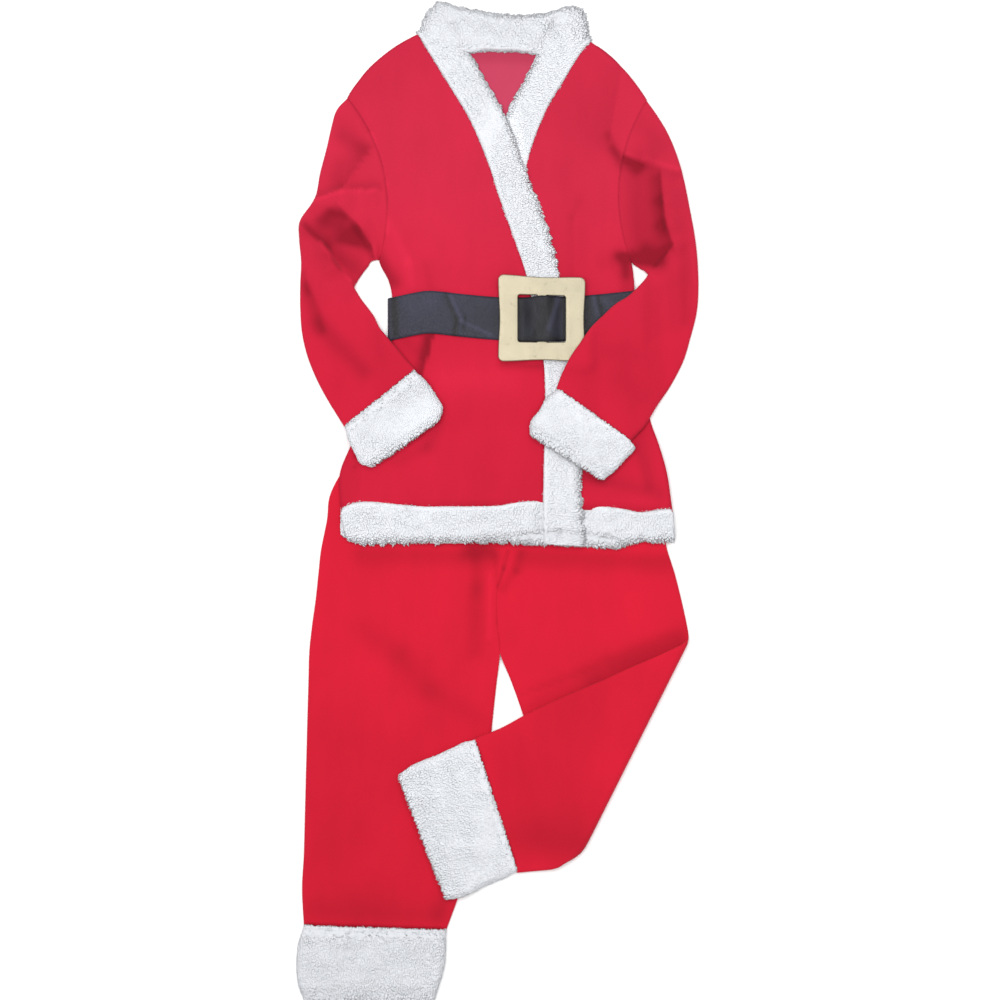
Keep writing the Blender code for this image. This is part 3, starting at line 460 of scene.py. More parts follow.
# Folds and hollows: from x, y, to x, y, half width on the left and on the right of that way, height
# (negative is a hollow), in mm
FOLDS = {
    "sleeve_left": (
        (-142, 384, -167, 351, 6, 18, 2.6),
        (-203, 332, -173, 341.5, 5, 18, 4.6),
        (-173, 341.5, -123, 343, 5, 18, 4.2),
        (-200, 314, -165, 306, 10, 9, -2.4),
        (-172, 292, -145, 284, 8, 6, -3.6),
        (-171, 322, -153, 302, 14, 5, 3.6),
        (-153, 302, -139, 276, 14, 5, 3.4),
        (-214, 303, -190, 279, 3, 16, 5.2),
        (-190, 279, -179, 260, 3, 16, 5.2),
        (-179, 260, -159, 239, 3, 16, 4.6),
        (-209, 229, -193, 191, 5, 8, -2.8),
        (-193, 191, -162, 161, 8, 9, -2.4),
        (-156, 412, -145, 388, 12, 12, -1.8),
        (-182, 403, -178, 366, 14, 14, -1.2),
        (-190, 140, -130, 170, 12, 14, 1.2),
        (-150, 215, -122, 186, 9, 9, 1.2),
    ),
    "sleeve_right": (
        (138, 386, 161, 376, 14, 5, 3.6),
        (161, 376, 199, 365, 15, 5, 3.8),
        (140, 401, 155, 424, 10, 12, 1.2),
        (156, 352, 165, 290, 12, 14, -3.0),
        (180, 358, 182, 331, 18, 3, 5.0),
        (182, 331, 185, 305, 18, 3, 5.0),
        (185, 305, 192, 284, 18, 3, 5.0),
        (150, 268, 178, 272, 9, 7, -3.0),
        (192, 279, 176, 260, 14, 3, 3.4),
        (205, 240, 130, 160, 18, 16, -0.9),
        (216, 270, 170, 236, 12, 16, 1.4),
        (172, 116, 96, 168, 12, 14, 1.2),
        (147, 70, 171, 94, 5, 7, -1.4),
        (125, 396, 134, 368, 6, 8, -1.8),
    ),
    "jacket_front_left": (
        (-123, 317, -108, 293, 10, 12, 2.0),
        (-108, 293, -95, 248, 9, 14, 1.8),
        (-77, 263, -75, 182, 6, 10, 2.0),
        (-75, 182, -84, 140, 7, 11, 1.4),
        (-100, 400, -60, 300, 26, 20, 1.4),
        (-104, 170, -112, 120, 8, 12, -1.2),
        (-153, 38, -157, 2, 2.5, 3.5, -1.4),
        (-96, 150, -62, 60, 18, 22, 1.2),
        (-12, 150, -4, 40, 14, 10, 0.9),
        (-166, 445, -141, 411, 3.5, 3.5, -1.4),
        (-141, 411, -125, 372, 4, 4, -1.0),
    ),
    "jacket_front_right": (
        (112, 431, 125, 387, 20, 14, -1.6),
        (120, 418, 131, 381, 8, 8, -1.8),
        (131, 381, 140, 359, 8, 8, -1.6),
        (150, 291, 134, 267, 7, 9, -1.6),
        (134, 267, 134, 250, 7, 9, -1.6),
        (144, 306, 146, 280, 10, 10, 1.6),
        (85, 331, 85, 252, 9, 16, 1.8),
        (110, 130, 128, 30, 16, 20, 1.0),
        (150, 110, 140, 40, 10, 14, -0.9),
        (92, 26, 166, 2, 8, 8, -0.8),
    ),
    "leg_left": (
        (-12, -56, -16, -86, 10, 10, -2.0),
        (-16, -86, -18, -137, 14, 12, -1.2),
        (-143, -151, -79, -203, 30, 22, -1.4),
        (-79, -203, -28, -244, 28, 20, -1.2),
        (-60, -150, -30, -190, 20, 20, 0.8),
        (-180, -60, -170, -300, 24, 24, 0.8),
        (-120, -300, -60, -350, 18, 26, -0.9),
        (-150, -420, -90, -380, 22, 14, 0.8),
    ),
    "leg_right": (
        (13, -52, 8, -74, 4, 4, 1.6),
        (8, -74, 2, -93, 4, 4, 1.6),
        (22, -58, 18, -78, 4, 4, -1.6),
        (18, -78, 4, -98, 4, 4, -1.4),
        (30, -74, 100, -84, 10, 8, -0.8),
        (20, -214, 97, -186, 4, 12, -1.0),
        (97, -186, 200, -147, 4, 14, -1.0),
        (190, -80, 160, -140, 16, 20, 0.8),
        (120, -250, 60, -330, 20, 26, 1.0),
    ),
    "belt": (
        (-56, 226, -41, 201, 5, 8, 0.9),
        (-41, 201, -45, 184, 5, 8, 0.8),
        (60, 226, 41, 178, 4, 7, -1.6),
        (66, 224, 60, 180, 8, 6, 1.0),
        (30, 222, 36, 200, 6, 6, 0.7),
        (104, 226, 112, 190, 4, 6, 0.9),
        (-90, 215, -84, 190, 8, 8, -0.6),
    ),
}
# The same for the fur: the rolled lower edge of the hem and the turns at the shoulders
FUR_FOLDS = (
    (-21, -41, 29, -36, 3, 3, -1.3),
    (29, -36, 68, -32.5, 3, 3, -1.6),
    (68, -32.5, 119, -39, 3, 3, -1.6),
    (119, -39, 141, -46, 3, 3, -1.2),
    (-62, 547, -52, 527, 5, 5, -1.4),
    (-52, 527, -42, 505, 5, 5, -1.4),
    (74, 545, 62, 527, 5, 5, -1.4),
    (62, 527, 48, 505, 5, 5, -1.4),
)
# Painted shade in creases, hollows and under edges: the same columns, with the strength last
# A negative strength paints a highlight on a ridge instead.
SHADES = {
    "sleeve_left": (
        (-168, 448, -156, 435, 1.5, 3, 0.2),
        (-156, 435, -141, 407, 1.5, 4, 0.22),
        (-175, 420, -160, 410, 10, 10, 0.12),
        (-172, 403, -150, 390, 9, 11, 0.36),
        (-143, 385, -168, 350, 1.2, 15, 0.4),
        (-176, 372, -182, 350, 9, 9, 0.18),
        (-199, 335, -173, 343.5, 8, 1.0, 0.26),
        (-160, 345, -132, 345, 9, 1.0, 0.3),
        (-203, 331.5, -173, 341, 1.3, 2.5, -0.22),
        (-173, 341, -130, 342.5, 1.3, 2.5, -0.2),
        (-198, 311, -184, 320, 4, 9, 0.36),
        (-184, 320, -171, 315, 4, 10, 0.4),
        (-171, 320, -153, 302, 1.2, 12, 0.36),
        (-153, 302, -140, 281, 1.2, 11, 0.4),
        (-140, 281, -137, 270, 1.2, 5, 0.5),
        (-172, 288, -147, 284, 9, 6, 0.55),
        (-190, 306, -160, 296, 9, 10, 0.4),
        (-208, 297, -188, 288, 9, 9, 0.42),
        (-184, 276, -160, 262, 16, 14, 0.3),
        (-214, 302, -190, 278, 9, 0.8, 0.34),
        (-190, 278, -179, 259, 12, 0.8, 0.14),
        (-179, 259, -159, 238, 12, 0.8, 0.12),
        (-176, 268, -150, 250, 13, 12, 0.26),
        (-188, 308, -156, 290, 12, 12, 0.26),
        (-214, 252, -209, 229, 2.5, 4, 0.26),
        (-211, 238, -193, 190, 4, 8, 0.5),
        (-198, 196, -148, 144, 9, 10, 0.36),
        (-195, 285, -162, 244, 2.5, 2.5, -0.55),
    ),
    "sleeve_right": (
        (128, 428, 123, 402, 2, 3, 0.2),
        (124, 398, 133, 368, 3, 7, 0.3),
        (155, 424, 186, 392, 12, 14, 0.1),
        (156, 412, 176, 392, 12, 12, 0.12),
        (136, 382, 157, 371, 1.2, 9, 0.5),
        (157, 371, 197, 361, 1.2, 7, 0.22),
        (141, 384, 161, 376, 2.5, 1.2, -0.16),
        (161, 376, 198, 365.5, 2.5, 1.2, -0.22),
        (156, 366, 160, 280, 20, 22, 0.44),
        (174, 354, 180, 294, 7, 9, 0.34),
        (126, 388, 152, 366, 5, 7, 0.4),
        (178.5, 358, 180.5, 331, 0.9, 10, 0.3),
        (180.5, 331, 184, 305, 0.9, 11, 0.4),
        (184, 305, 191, 286, 0.9, 12, 0.5),
        (147, 268, 178, 264, 8, 8, 0.95),
        (164, 278, 182, 276, 9, 8, 0.5),
        (190, 279, 176, 260, 0.8, 8, 0.4),
        (204, 280, 206, 200, 8, 6, 0.2),
        (196, 240, 194, 196, 13, 14, 0.12),
        (190, 348, 202, 300, 14, 12, 0.14),
        (213, 280, 216, 240, 1.5, 1.5, -0.1),
        (122, 163, 150, 160, 9, 9, 0.1),
        (135, 135, 158, 116, 14, 14, 0.12),
        (147, 70, 171, 94, 1.5, 3, 0.3),
    ),
    "jacket_front_left": (
        (-166, 446, -141, 409, 1.2, 1.2, 0.1),
        (-121, 341, -120, 313, 1.5, 1.5, 0.1),
        (-137, 274, -116, 242, 9, 9, 0.7),
        (-139, 404, -124, 350, 2.2, 2.2, -0.3),
        (-124, 350, -123, 296, 2.2, 2.2, -0.3),
        (-122, 311, -97, 264, 3, 8, -0.12),
        (-97, 264, -93, 240, 2, 8, -0.12),
        (-70, 188, -83, 140, 0.8, 10, 1.0),
        (-74, 184, -80, 158, 2, 5, 0.5),
        (-104, 178, -92, 168, 6, 8, 0.2),
        (-66, 86, -78, 60, 8, 7, 0.26),
        (-78, 60, -110, 44, 7, 7, 0.16),
        (-158, 52, -156, 4, 1.2, 1.2, 0.34),
        (-165, 60, -166, 0, 8, 8, 0.12),
        (-70, 340, -60, 250, 50, 50, -0.08),
        (4, 152, 47, 150, 2, 5, 0.5),
        (-80, 262, -76, 236, 4, 4, 0.12),
        (0, 236, 30, 236, 5, 5, 0.1),
        (-60, 135, 10, 135, 24, 24, -0.16),
    ),
    "jacket_front_right": (
        (98, 470, 96, 412, 32, 32, 0.08),
        (135, 474, 122, 398, 0.8, 18, 0.18),
        (122, 404, 136, 370, 4, 6, 0.4),
        (126, 388, 152, 366, 5, 7, 0.4),
        (138, 358, 140, 331, 3, 2, 0.14),
        (133, 271, 148, 269, 6, 8, 0.8),
        (140, 268, 141, 250, 7, 7, 0.6),
        (142, 252, 142, 236, 9, 9, 0.3),
        (118, 262, 136, 262, 10, 8, 0.12),
        (90, 330, 82, 312, 2, 6, 0.1),
        (82, 312, 82, 252, 2, 8, 0.12),
        (92, 28, 116, 22, 5, 6, 0.5),
        (116, 24, 176, 8, 9, 7, 0.24),
        (150, 78, 166, 18, 9, 6, 0.3),
    ),
    "jacket_back": (
        (-28, 492, 40, 490, 5, 8, 0.3),
        (-10, 440, 12, 400, 8, 8, 0.1),
    ),
    "leg_left": (
        (-150, -58, -30, -60, 8, 13, 0.26),
        (-28, -50, -8, -54, 8, 9, 0.5),
        (-36, -58, -4, -62, 9, 10, 0.3),
        (-23, -66, -23, -100, 8, 8, 0.24),
        (-24, -96, -25, -165, 9, 9, 0.22),
        (-4, -60, -1, -92, 3, 1.5, 0.2),
        (-0.5, -92, -1, -132, 2, 1.5, 0.3),
        (-1, -132, 3, -166, 2, 1.5, 0.26),
        (-9, -80, -10, -150, 3, 3, -0.14),
        (-150, -141, -108, -170, 15, 15, 0.16),
        (-108, -170, -76, -207, 15, 15, 0.2),
        (-76, -207, -20, -240, 13, 13, 0.16),
        (-160, -290, -140, -450, 80, 70, 0.18),
        (-200, -340, -190, -450, 30, 40, 0.08),
        (-205, -450, -66, -456, 18, 10, 0.22),
        (-58, -436, -66, -456, 10, 9, 0.24),
    ),
    "leg_right": (
        (12, -55, 7, -74, 1.5, 4, 0.36),
        (7, -74, 1, -93, 1.5, 4, 0.36),
        (24, -56, 19, -76, 7, 3, 0.34),
        (19, -76, 6, -98, 5, 3, 0.24),
        (30, -60, 182, -66, 9, 14, 0.34),
        (26, -212, 110, -182, 3, 3, 0.14),
        (29, -231, 110, -197, 12, 4, 0.2),
        (104, -200, 206, -155, 19, 4, 0.34),
        (128, -180, 196, -154, 12, 14, 0.24),
        (250, -290, 150, -390, 70, 70, 0.2),
        (150, -436, 100, -380, 22, 26, 0.26),
    ),
    "belt": (
        (-56, 226, -45, 201, 2.2, 4, 0.3),
        (-52, 226, -41, 201, 2, 3, -0.3),
        (-45, 201, -48, 184, 2.5, 2.5, 0.34),
        (-41, 199, -8, 184, 1.6, 3, -0.3),
        (-36, 203, -38, 190, 1.6, 2, 0.24),
        (-95, 216, -70, 222, 14, 10, -0.08),
        (-115, 222, -114, 184, 5, 2.5, 0.4),
        (24, 204, 74, 204, 40, 40, 0.24),
        (57, 220, 42, 180, 3.4, 2.2, 0.62),
        (22, 226, 22, 177, 2.5, 2.5, 0.6),
        (74.5, 226, 74.5, 177, 2.5, 2.5, 0.7),
        (24, 177, 74, 177, 2, 2, 0.6),
        (70, 205, 62, 186, 7, 5, -0.12),
        (66, 224, 56, 190, 2.5, 3, -0.42),
        (36, 222, 44, 202, 2.5, 3, -0.08),
        (97, 228, 98, 185, 3, 2.5, 0.3),
        (105, 226, 109, 206, 2.5, 2, -0.3),
        (110, 224, 114, 206, 3, 2.5, 0.24),
        (113, 222, 128, 214, 3, 3, -0.12),
    ),
}
# Painted shade on the fur's bands, cuffs, hem and shoulder turns; a negative strength paints a highlight
FUR_SHADES = (
    (-40, 450, 30, 300, 60, 60, 0.04),
    (10, 436, 31, 364, 8, 5, -0.9),
    (31, 364, 52, 308, 6, 5, -0.7),
    (52, 308, 68, 250, 6, 5, -0.6),
    (-145, 88, -88, 130, 20, 26, 0.26),
    (52, 100, 132, 45, 26, 26, 0.08),
    (-60, -46, 29, -41, 4, 4, 0.12),
    (-21, -41, 29, -36, 2.5, 6, 0.22),
    (29, -36, 68, -32.5, 2.5, 6, 0.3),
    (68, -32.5, 119, -39, 2.5, 6, 0.3),
    (119, -39, 141, -46, 2.5, 5, 0.22),
    (-62, 547, -52, 527, 5, 5, 0.08),
    (-52, 527, -42, 505, 5, 5, 0.08),
    (74, 545, 62, 527, 7, 5, 0.1),
    (62, 527, 48, 505, 7, 5, 0.1),
    (-210, -490, -60, -490, 60, 60, 0.16),
    (-212, -471, -58, -476, 5, 6, 0.16),
    (10, 330, 70, 230, 30, 30, 0.06),
)

# Stage: soft lights (name, place, width, share of the key's power), camera
KEY_LIGHTS = (
    ("key light", (0.15, 0.5, 2.4), 2.4, 1.0),
    ("side light", (-0.9, 0.1, 2.3), 1.6, 0.45),
)
FLOOR_Z = -0.0004
FLOOR_REACH = 4.0  # from its middle to its edges, in metres
CLOTH_LEVEL = 0.008  # height at which the camera's frame has its stated width
FRAME_MIDDLE = (0.0032, 0.00265)  # of what it sees


def ease(value):
    """0 to 1 with a soft start and end."""
    value = np.clip(value, 0.0, 1.0)
    return value * value * (3 - 2 * value)


def folds(x, y, table):
    """Height of ridges and hollows, each along a line, with its own slope on either side."""
    height = np.zeros_like(x)
    for from_x, from_y, to_x, to_y, left_width, right_width, rise in table:
        along_x = to_x - from_x
        along_y = to_y - from_y
        length = math.hypot(along_x, along_y)
        along = ((x - from_x) * along_x + (y - from_y) * along_y) / length
        across = ((x - from_x) * along_y - (y - from_y) * along_x) / length
        width = np.where(across > 0, right_width, left_width)
        fade = (left_width + right_width) / 2
        past_end = np.maximum(0, np.abs(along - length / 2) - length / 2)
        height += rise * np.exp(-(across / width) ** 2 - (past_end / fade) ** 2)
    return height


def swells(x, y, size, seed):
    """Smooth random field between about -1 and 1 whose swells are about one size."""
    rng = np.random.default_rng(seed)
    total = np.zeros_like(x)
    for _ in range(SWELL_WAVES):
        heading = rng.uniform(0, 2 * math.pi)
        rate = 2 * math.pi / size * rng.uniform(0.6, 1.5)
        phase = rng.uniform(0, 2 * math.pi)
        total += np.cos(rate * (x * math.cos(heading) + y * math.sin(heading)) + phase)
    return total / math.sqrt(SWELL_WAVES)


def uneven(x, y, seed, layers, level=0.0):
    """A level with slight swells on it, from layers of a strength and a size each."""
    for number, (strength, size) in enumerate(layers):
        level = level + strength * swells(x, y, size, seed + number)
    return level


class Ground:
    """Height map of everything that already lies on the table."""

    half_x = 300.0
    half_y = 600.0

    def __init__(self, heights=None):
        shape = (int(2 * self.half_y / CELL) + 1, int(2 * self.half_x / CELL) + 1)
        self.heights = np.zeros(shape) if heights is None else heights

    def below(self, limit_y):
        """The same map with nothing on it above a line across the board."""
        kept = Ground(self.heights.copy())
        kept.heights[int((limit_y + self.half_y) / CELL):] = 0
        return kept

    def with_layers(self, *grids):
        """The map with grids of points laid on it."""
        made = Ground(self.heights.copy())
        for grid in grids:
            for point in inner_points(grid):
                column = np.rint((point[..., 0] + self.half_x) / CELL).astype(int)
                row = np.rint((point[..., 1] + self.half_y) / CELL).astype(int)
                np.maximum.at(made.heights, (row, column), point[..., 2])
        return made

    def draped(self, reach, soft):
        """The surface that cloth takes over the map: its steps spread and rounded."""
        heights = self.heights
        for axis in (0, 1):
            heights = np.max([np.roll(heights, shift, axis) for shift in cells(reach)], axis=0)
        for _ in range(2):
            for axis in (0, 1):
                heights = np.mean([np.roll(heights, shift, axis) for shift in cells(soft / 2)], axis=0)
        return Ground(heights)

    def at(self, x, y):
        """Height at any places, read between the map's cells."""
        column = np.clip((x + self.half_x) / CELL, 0, self.heights.shape[1] - 1.001)
        row = np.clip((y + self.half_y) / CELL, 0, self.heights.shape[0] - 1.001)
        left = column.astype(int)
        low = row.astype(int)
        s = column - left
        t = row - low
        lower = self.heights[low, left] * (1 - s) + self.heights[low, left + 1] * s
        upper = self.heights[low + 1, left] * (1 - s) + self.heights[low + 1, left + 1] * s
        return lower * (1 - t) + upper * t

    def rest(self, places, soft=DRAPE_SOFT):
        """Underside heights of a layer that lies on the map."""
        height = self.draped(DRAPE_REACH, soft).at(places[..., 0], places[..., 1])
        return height + AIR * np.minimum(height, 1)


def cells(distance):
    """Shifts, in map cells, that reach a distance both ways."""
    count = int(round(distance / CELL))
    return range(-count, count + 1)


def inner_points(grid):
    """Points all over a grid, closer together than the height map's cells."""
    down = np.linalg.norm(np.diff(grid[..., :2], axis=0), axis=2).max()
    along = np.linalg.norm(np.diff(grid[..., :2], axis=1), axis=2).max()
    for s in np.linspace(0, 1, int(down / CELL * POINT_SHARE) + 2):
        for t in np.linspace(0, 1, int(along / CELL * POINT_SHARE) + 2):
            yield (grid[:-1, :-1] * (1 - s) * (1 - t) + grid[1:, :-1] * s * (1 - t)
                   + grid[:-1, 1:] * (1 - s) * t + grid[1:, 1:] * s * t)


def finer(rows, steps=ROW_STEPS):
    """A table's rows, with smooth curves drawn through them and read at more places."""
    rows = np.array(rows, dtype=float)
    if rows.ndim == 1:
        rows = rows[:, None]
    reach = np.vstack([2 * rows[0] - rows[1], rows, 2 * rows[-1] - rows[-2]])
    place = np.linspace(0, len(rows) - 1, (len(rows) - 1) * steps + 1)
    index = np.minimum(place.astype(int), len(rows) - 2)
    t = (place - index)[:, None]
    before, start, end, after = (reach[index + shift] for shift in range(4))
    return (start + 0.5 * t * (end - before) + t ** 2 * (before - 2.5 * start + 2 * end - 0.5 * after)
            + t ** 3 * (1.5 * (start - end) + 0.5 * (after - before)))


def spread_across(rows, across, bow=None):
    """Board places of the sections' points; across runs from 0 at the outer end to 1 at the inner."""
    outer = rows[:, None, 0:2]
    inner = rows[:, None, 2:4]
    places = outer + (inner - outer) * across[None, :, None]
    if bow is None:
        return places
    chord = (inner - outer)[:, 0]
    side = np.stack([-chord[:, 1], chord[:, 0]], axis=1) / np.linalg.norm(chord, axis=1)[:, None]
    arch = 4 * across * (1 - across)
    return places + side[:, None, :] * bow[:, None, None] * arch[None, :, None]


def trimmed(rows, outer=0.0, inner=0.0):
    """Sections shortened at their ends by lengths in mm."""
    chord = rows[:, 2:4] - rows[:, 0:2]
    way = chord / np.linalg.norm(chord, axis=1)[:, None]
    return np.hstack([rows[:, 0:2] + way * np.reshape(outer, (-1, 1)),
                      rows[:, 2:4] - way * np.reshape(inner, (-1, 1))])


def lengthened(rows, start=0.0, end=0.0):
    """Sections with the first and the last one moved on along the strip by lengths in mm."""
    rows = np.array(rows, dtype=float)
    for last, other, length in ((0, 1, start), (-1, -2, end)):
        step = rows[last] - rows[other]
        rows[last] += step * length / np.linalg.norm(step[0:2])
    return rows


def mean_width(rows):
    """Mean length of the sections, in mm."""
    return float(np.mean(np.linalg.norm(rows[:, 2:4] - rows[:, 0:2], axis=1)))


def tube_section(width, edge):
    """Section of a flattened tube: across and up shares, from the seam at the inner edge over the upper
    layer, round the outer edge and back along the lower layer to the seam."""
    edge = edge / width
    turn = np.radians(np.arange(0, 90, TURN_STEP))
    outer_turn = np.radians(np.arange(90 - TURN_STEP, -90, -TURN_STEP))
    flat = np.linspace(1 - edge, edge, int(width / FINE))
    across = np.concatenate([1 - edge * (1 - np.cos(turn)),
                             flat, edge * (1 - np.cos(outer_turn)), flat[::-1],
                             (1 - edge * (1 - np.cos(turn)))[::-1]])
    up = np.concatenate([0.5 + 0.5 * np.sin(turn), np.ones(len(flat)), 0.5 + 0.5 * np.sin(outer_turn),
                         np.zeros(len(flat)), (0.5 - 0.5 * np.sin(turn))[::-1]])
    return across, up


def tube_grid(rows, ground, height, edge, bow=None, sewn=None, wall=0.0):
    """Outer surface of a flattened tube. Height gives its thickness at any place; sewn runs from 0 where
    the two layers end apart at the inner edge to 1 where that edge is closed. With a wall the same rows
    follow again, back to the first one, on the inside of the wall."""
    across, up = tube_section(mean_width(rows), edge)
    places = spread_across(rows, across, bow)
    lower = ground.rest(places)
    over = np.maximum(lower, ground.rest(places, soft=2 * DRAPE_SOFT))
    up = np.tile(up, (len(rows), 1))
    if sewn is not None:
        apart = np.round(up)
        apart[:, 0] = 1
        apart[:, -1] = 0
        inner_side = (across > 0.5)[None, :]
        up = np.where(inner_side, up * sewn[:, None] + apart * (1 - sewn[:, None]), up)
    tall = over - lower + height(places[..., 0], places[..., 1])
    outside = np.dstack([places, lower + up * tall])
    if not wall:
        return outside
    places = spread_across(trimmed(rows, wall, wall), across)
    inside = np.dstack([places, lower + wall + up * (tall - 2 * wall)])
    return np.concatenate([outside, inside[::-1]])


def tube_height(plain, most, table, seed):
    """Thickness of a flattened tube at any place, with its folds and slight swells."""
    def height(x, y):
        return np.clip(plain + uneven(x, y, seed, TUBE_SWELLS, folds(x, y, table)), TUBE_LEAST, most)
    return height


def strip_section(width, edge):
    """Section of a fur strip: across and up shares, up its sewn edge, over the top, down its free edge
    and back along its underside."""
    across = (1 - np.cos(np.linspace(0, math.pi, FUR_COLUMNS))) / 2
    sewn = np.sqrt(1 - (1 - np.minimum(across / (SEWN_SLOPE / width), 1)) ** 2)
    free = np.sqrt(1 - (1 - np.minimum((1 - across) / (edge / width), 1)) ** 2)
    under = np.linspace(1, 0, UNDER_COLUMNS + 2)[1:-1]
    return np.concatenate([across, under]), np.concatenate([sewn * free, np.zeros(len(under))])


def rounded(rows, radius, start, end):
    """Sections with the corners cut round at the strip's first end, its last end or both."""
    middle = (rows[:, 0:2] + rows[:, 2:4]) / 2
    steps = np.linalg.norm(np.diff(middle, axis=0), axis=1)
    far = np.full(len(rows), radius, dtype=float)
    if start:
        far = np.minimum(far, np.concatenate([[0], np.cumsum(steps)]))
    if end:
        far = np.minimum(far, np.concatenate([[0], np.cumsum(steps[::-1])])[::-1])
    cut = radius - np.sqrt(radius ** 2 - (radius - far) ** 2)
    return trimmed(rows, cut, cut)


def strip_grid(rows, ground, height, seed, edge=FUR_SLOPE):
    """Body of a fur strip, a little smaller than the fur: the pile stands on it."""
    rows = np.array(rows)
    free = uneven(rows[:, 2], rows[:, 3], seed, EDGE_SWELLS, EDGE_REACH)
    across, up = strip_section(mean_width(rows), edge)
    places = spread_across(trimmed(rows, inner=free), across)
    lower = ground.rest(places)
    over = np.maximum(lower, ground.rest(places, soft=2 * DRAPE_SOFT))
    x, y = places[..., 0], places[..., 1]
    lumps = uneven(x, y, seed + 1, STRIP_SWELLS) + folds(x, y, FUR_FOLDS)
    tall = np.reshape(height, (-1, 1)) - TIP_REACH + lumps + over - lower
    return np.dstack([places, lower + up * tall])


def armhole(table, count):
    """Places along an armhole seam, shoulder tip to armpit."""
    tip_x, tip_y, pit_x, pit_y, bow = table
    row = np.array([[tip_x, tip_y, pit_x, pit_y]], dtype=float)
    return spread_across(row, np.linspace(0, 1, count), np.array([bow], dtype=float))[0]


def body_sides():
    """Left and right edges of the jacket's body, a place for each table row from shoulder to hem."""
    edges = np.array(BODY_EDGES, dtype=float)
    left = np.vstack([armhole(ARMHOLE_LEFT, ARMHOLE_ROWS + 1), edges[:, 0:2]])
    right = np.vstack([armhole(ARMHOLE_RIGHT, ARMHOLE_ROWS + 1), edges[:, 2:4]])
    return left, right


def body_lift(rows, across):
    """Slack under a front: most along the armhole, none at the side seam, a little over the middle."""
    place = np.linspace(0, 1, rows) * (ARMHOLE_ROWS + len(BODY_EDGES)) / ARMHOLE_ROWS
    arm = ARMHOLE_LIFT * np.sqrt(np.sin(math.pi * np.clip(place, 0, 1)))
    inside = ease(across / LIFT_SHARE)
    middle = LAYER_LIFT * ease(place / LIFT_FROM)
    return arm[:, None] * (1 - inside)[None, :] + middle[:, None] * inside[None, :]


def puckers(rows, across, seed):
    """Fine gathers where cloth is sewn to a fur strip, dying out away from the seam."""
    seam = rows[:, 2:4]
    along = np.concatenate([[0], np.cumsum(np.linalg.norm(np.diff(seam, axis=0), axis=1))])
    waves = uneven(along, np.zeros_like(along), seed, PUCKER_SWELLS)
    away = (1 - across) * mean_width(rows)
    return PUCKER_RISE * waves[:, None] * np.exp(-(away / PUCKER_REACH) ** 2)[None, :]


def pressed(distance):
    """Height of a fur strip that is held down where the distance is zero or less."""
    return FUR_PRESSED + (FUR - FUR_PRESSED) * ease(distance / PRESS_FADE)


def fold_frame():
    """A point of the fold's centre line, the way along it and the way across it to the far side."""
    start = np.array(FOLD_FROM)
    along = np.array(FOLD_TO) - start
    along = along / np.linalg.norm(along)
    across = np.array([-along[1], along[0]])
    return start - across * FOLD_HEIGHT, along, across


def fold_over(points):
    """Where points of the flat leg lie once its far side is turned over: round a half circle above the
    leg, then back on top of it."""
    start, along, across = fold_frame()
    offset = points[..., :2] - start
    beyond = offset @ across
    turn = np.clip(beyond / (2 * FOLD_HEIGHT), 0, 1) * math.pi
    radius = FOLD_HEIGHT - points[..., 2]
    past = np.maximum(0, beyond - 2 * FOLD_HEIGHT)
    place = (start + (offset @ along)[..., None] * along
             + (radius * np.sin(turn) - past)[..., None] * across)
    turned = np.concatenate([place, (FOLD_HEIGHT - radius * np.cos(turn))[..., None]], axis=-1)
    return np.where((beyond > 0)[..., None], turned, points)


def belt_places(x):
    """Places of the belt's rows at the given places along it."""
    line = finer(BELT_LINE)
    middle = np.interp(x, line[:, 0], line[:, 1])
    rows = np.linspace(0.5, -0.5, BELT_ROWS)[:, None] * BELT_WIDTH
    from_bar = x - BUCKLE_CENTRE[0]
    inside = ease((WINDOW_HALF + SPREAD_FADE / 2 - np.abs(from_bar)) / SPREAD_FADE)
    above = (BELT_SPREAD[0] - BELT_LEAN * from_bar) * inside
    above = above * ease((from_bar + SPREAD_FROM) / SPREAD_FROM)
    below = BELT_SPREAD[1] * inside
    rows = rows + np.where(rows > 0, above, -below) * np.abs(rows) / (BELT_WIDTH / 2)
    return np.dstack(np.broadcast_arrays(x[None, :], middle[None, :] + rows))


def lay_trousers(shapes):
    """Two legs, each one cut wrapped round its outer side, and their fur cuffs."""
    table = Ground()
    sewn = ease(np.arange((len(LEG_LEFT) - 1) * ROW_STEPS + 1) / ROW_STEPS - CROTCH_ROW)
    for name, rows, seed in (("leg_left", LEG_LEFT, 11), ("leg_right", LEG_RIGHT, 12)):
        rows = trimmed(finer(rows), inner=LEG_GAP / 2)
        height = tube_height(LEG_HEIGHT, LEG_MOST, FOLDS[name], seed)
        shapes[name] = tube_grid(rows, table, height, TUBE_EDGE, sewn=sewn)
    turned = fold_over(np.dstack([np.array(LEG_CUFF_RIGHT).reshape(-1, 2, 2),
                                  np.zeros((len(LEG_CUFF_RIGHT), 2))]))[..., :2].reshape(-1, 4)
    on_leg = table.with_layers(shapes["leg_left"])
    shapes["leg_cuff_left"] = cuff_grid(LEG_CUFF_LEFT, table, 13)
    shapes["leg_cuff_right"] = cuff_grid(turned, on_leg, 14)
    return table.with_layers(shapes["leg_left"], shapes["leg_right"])


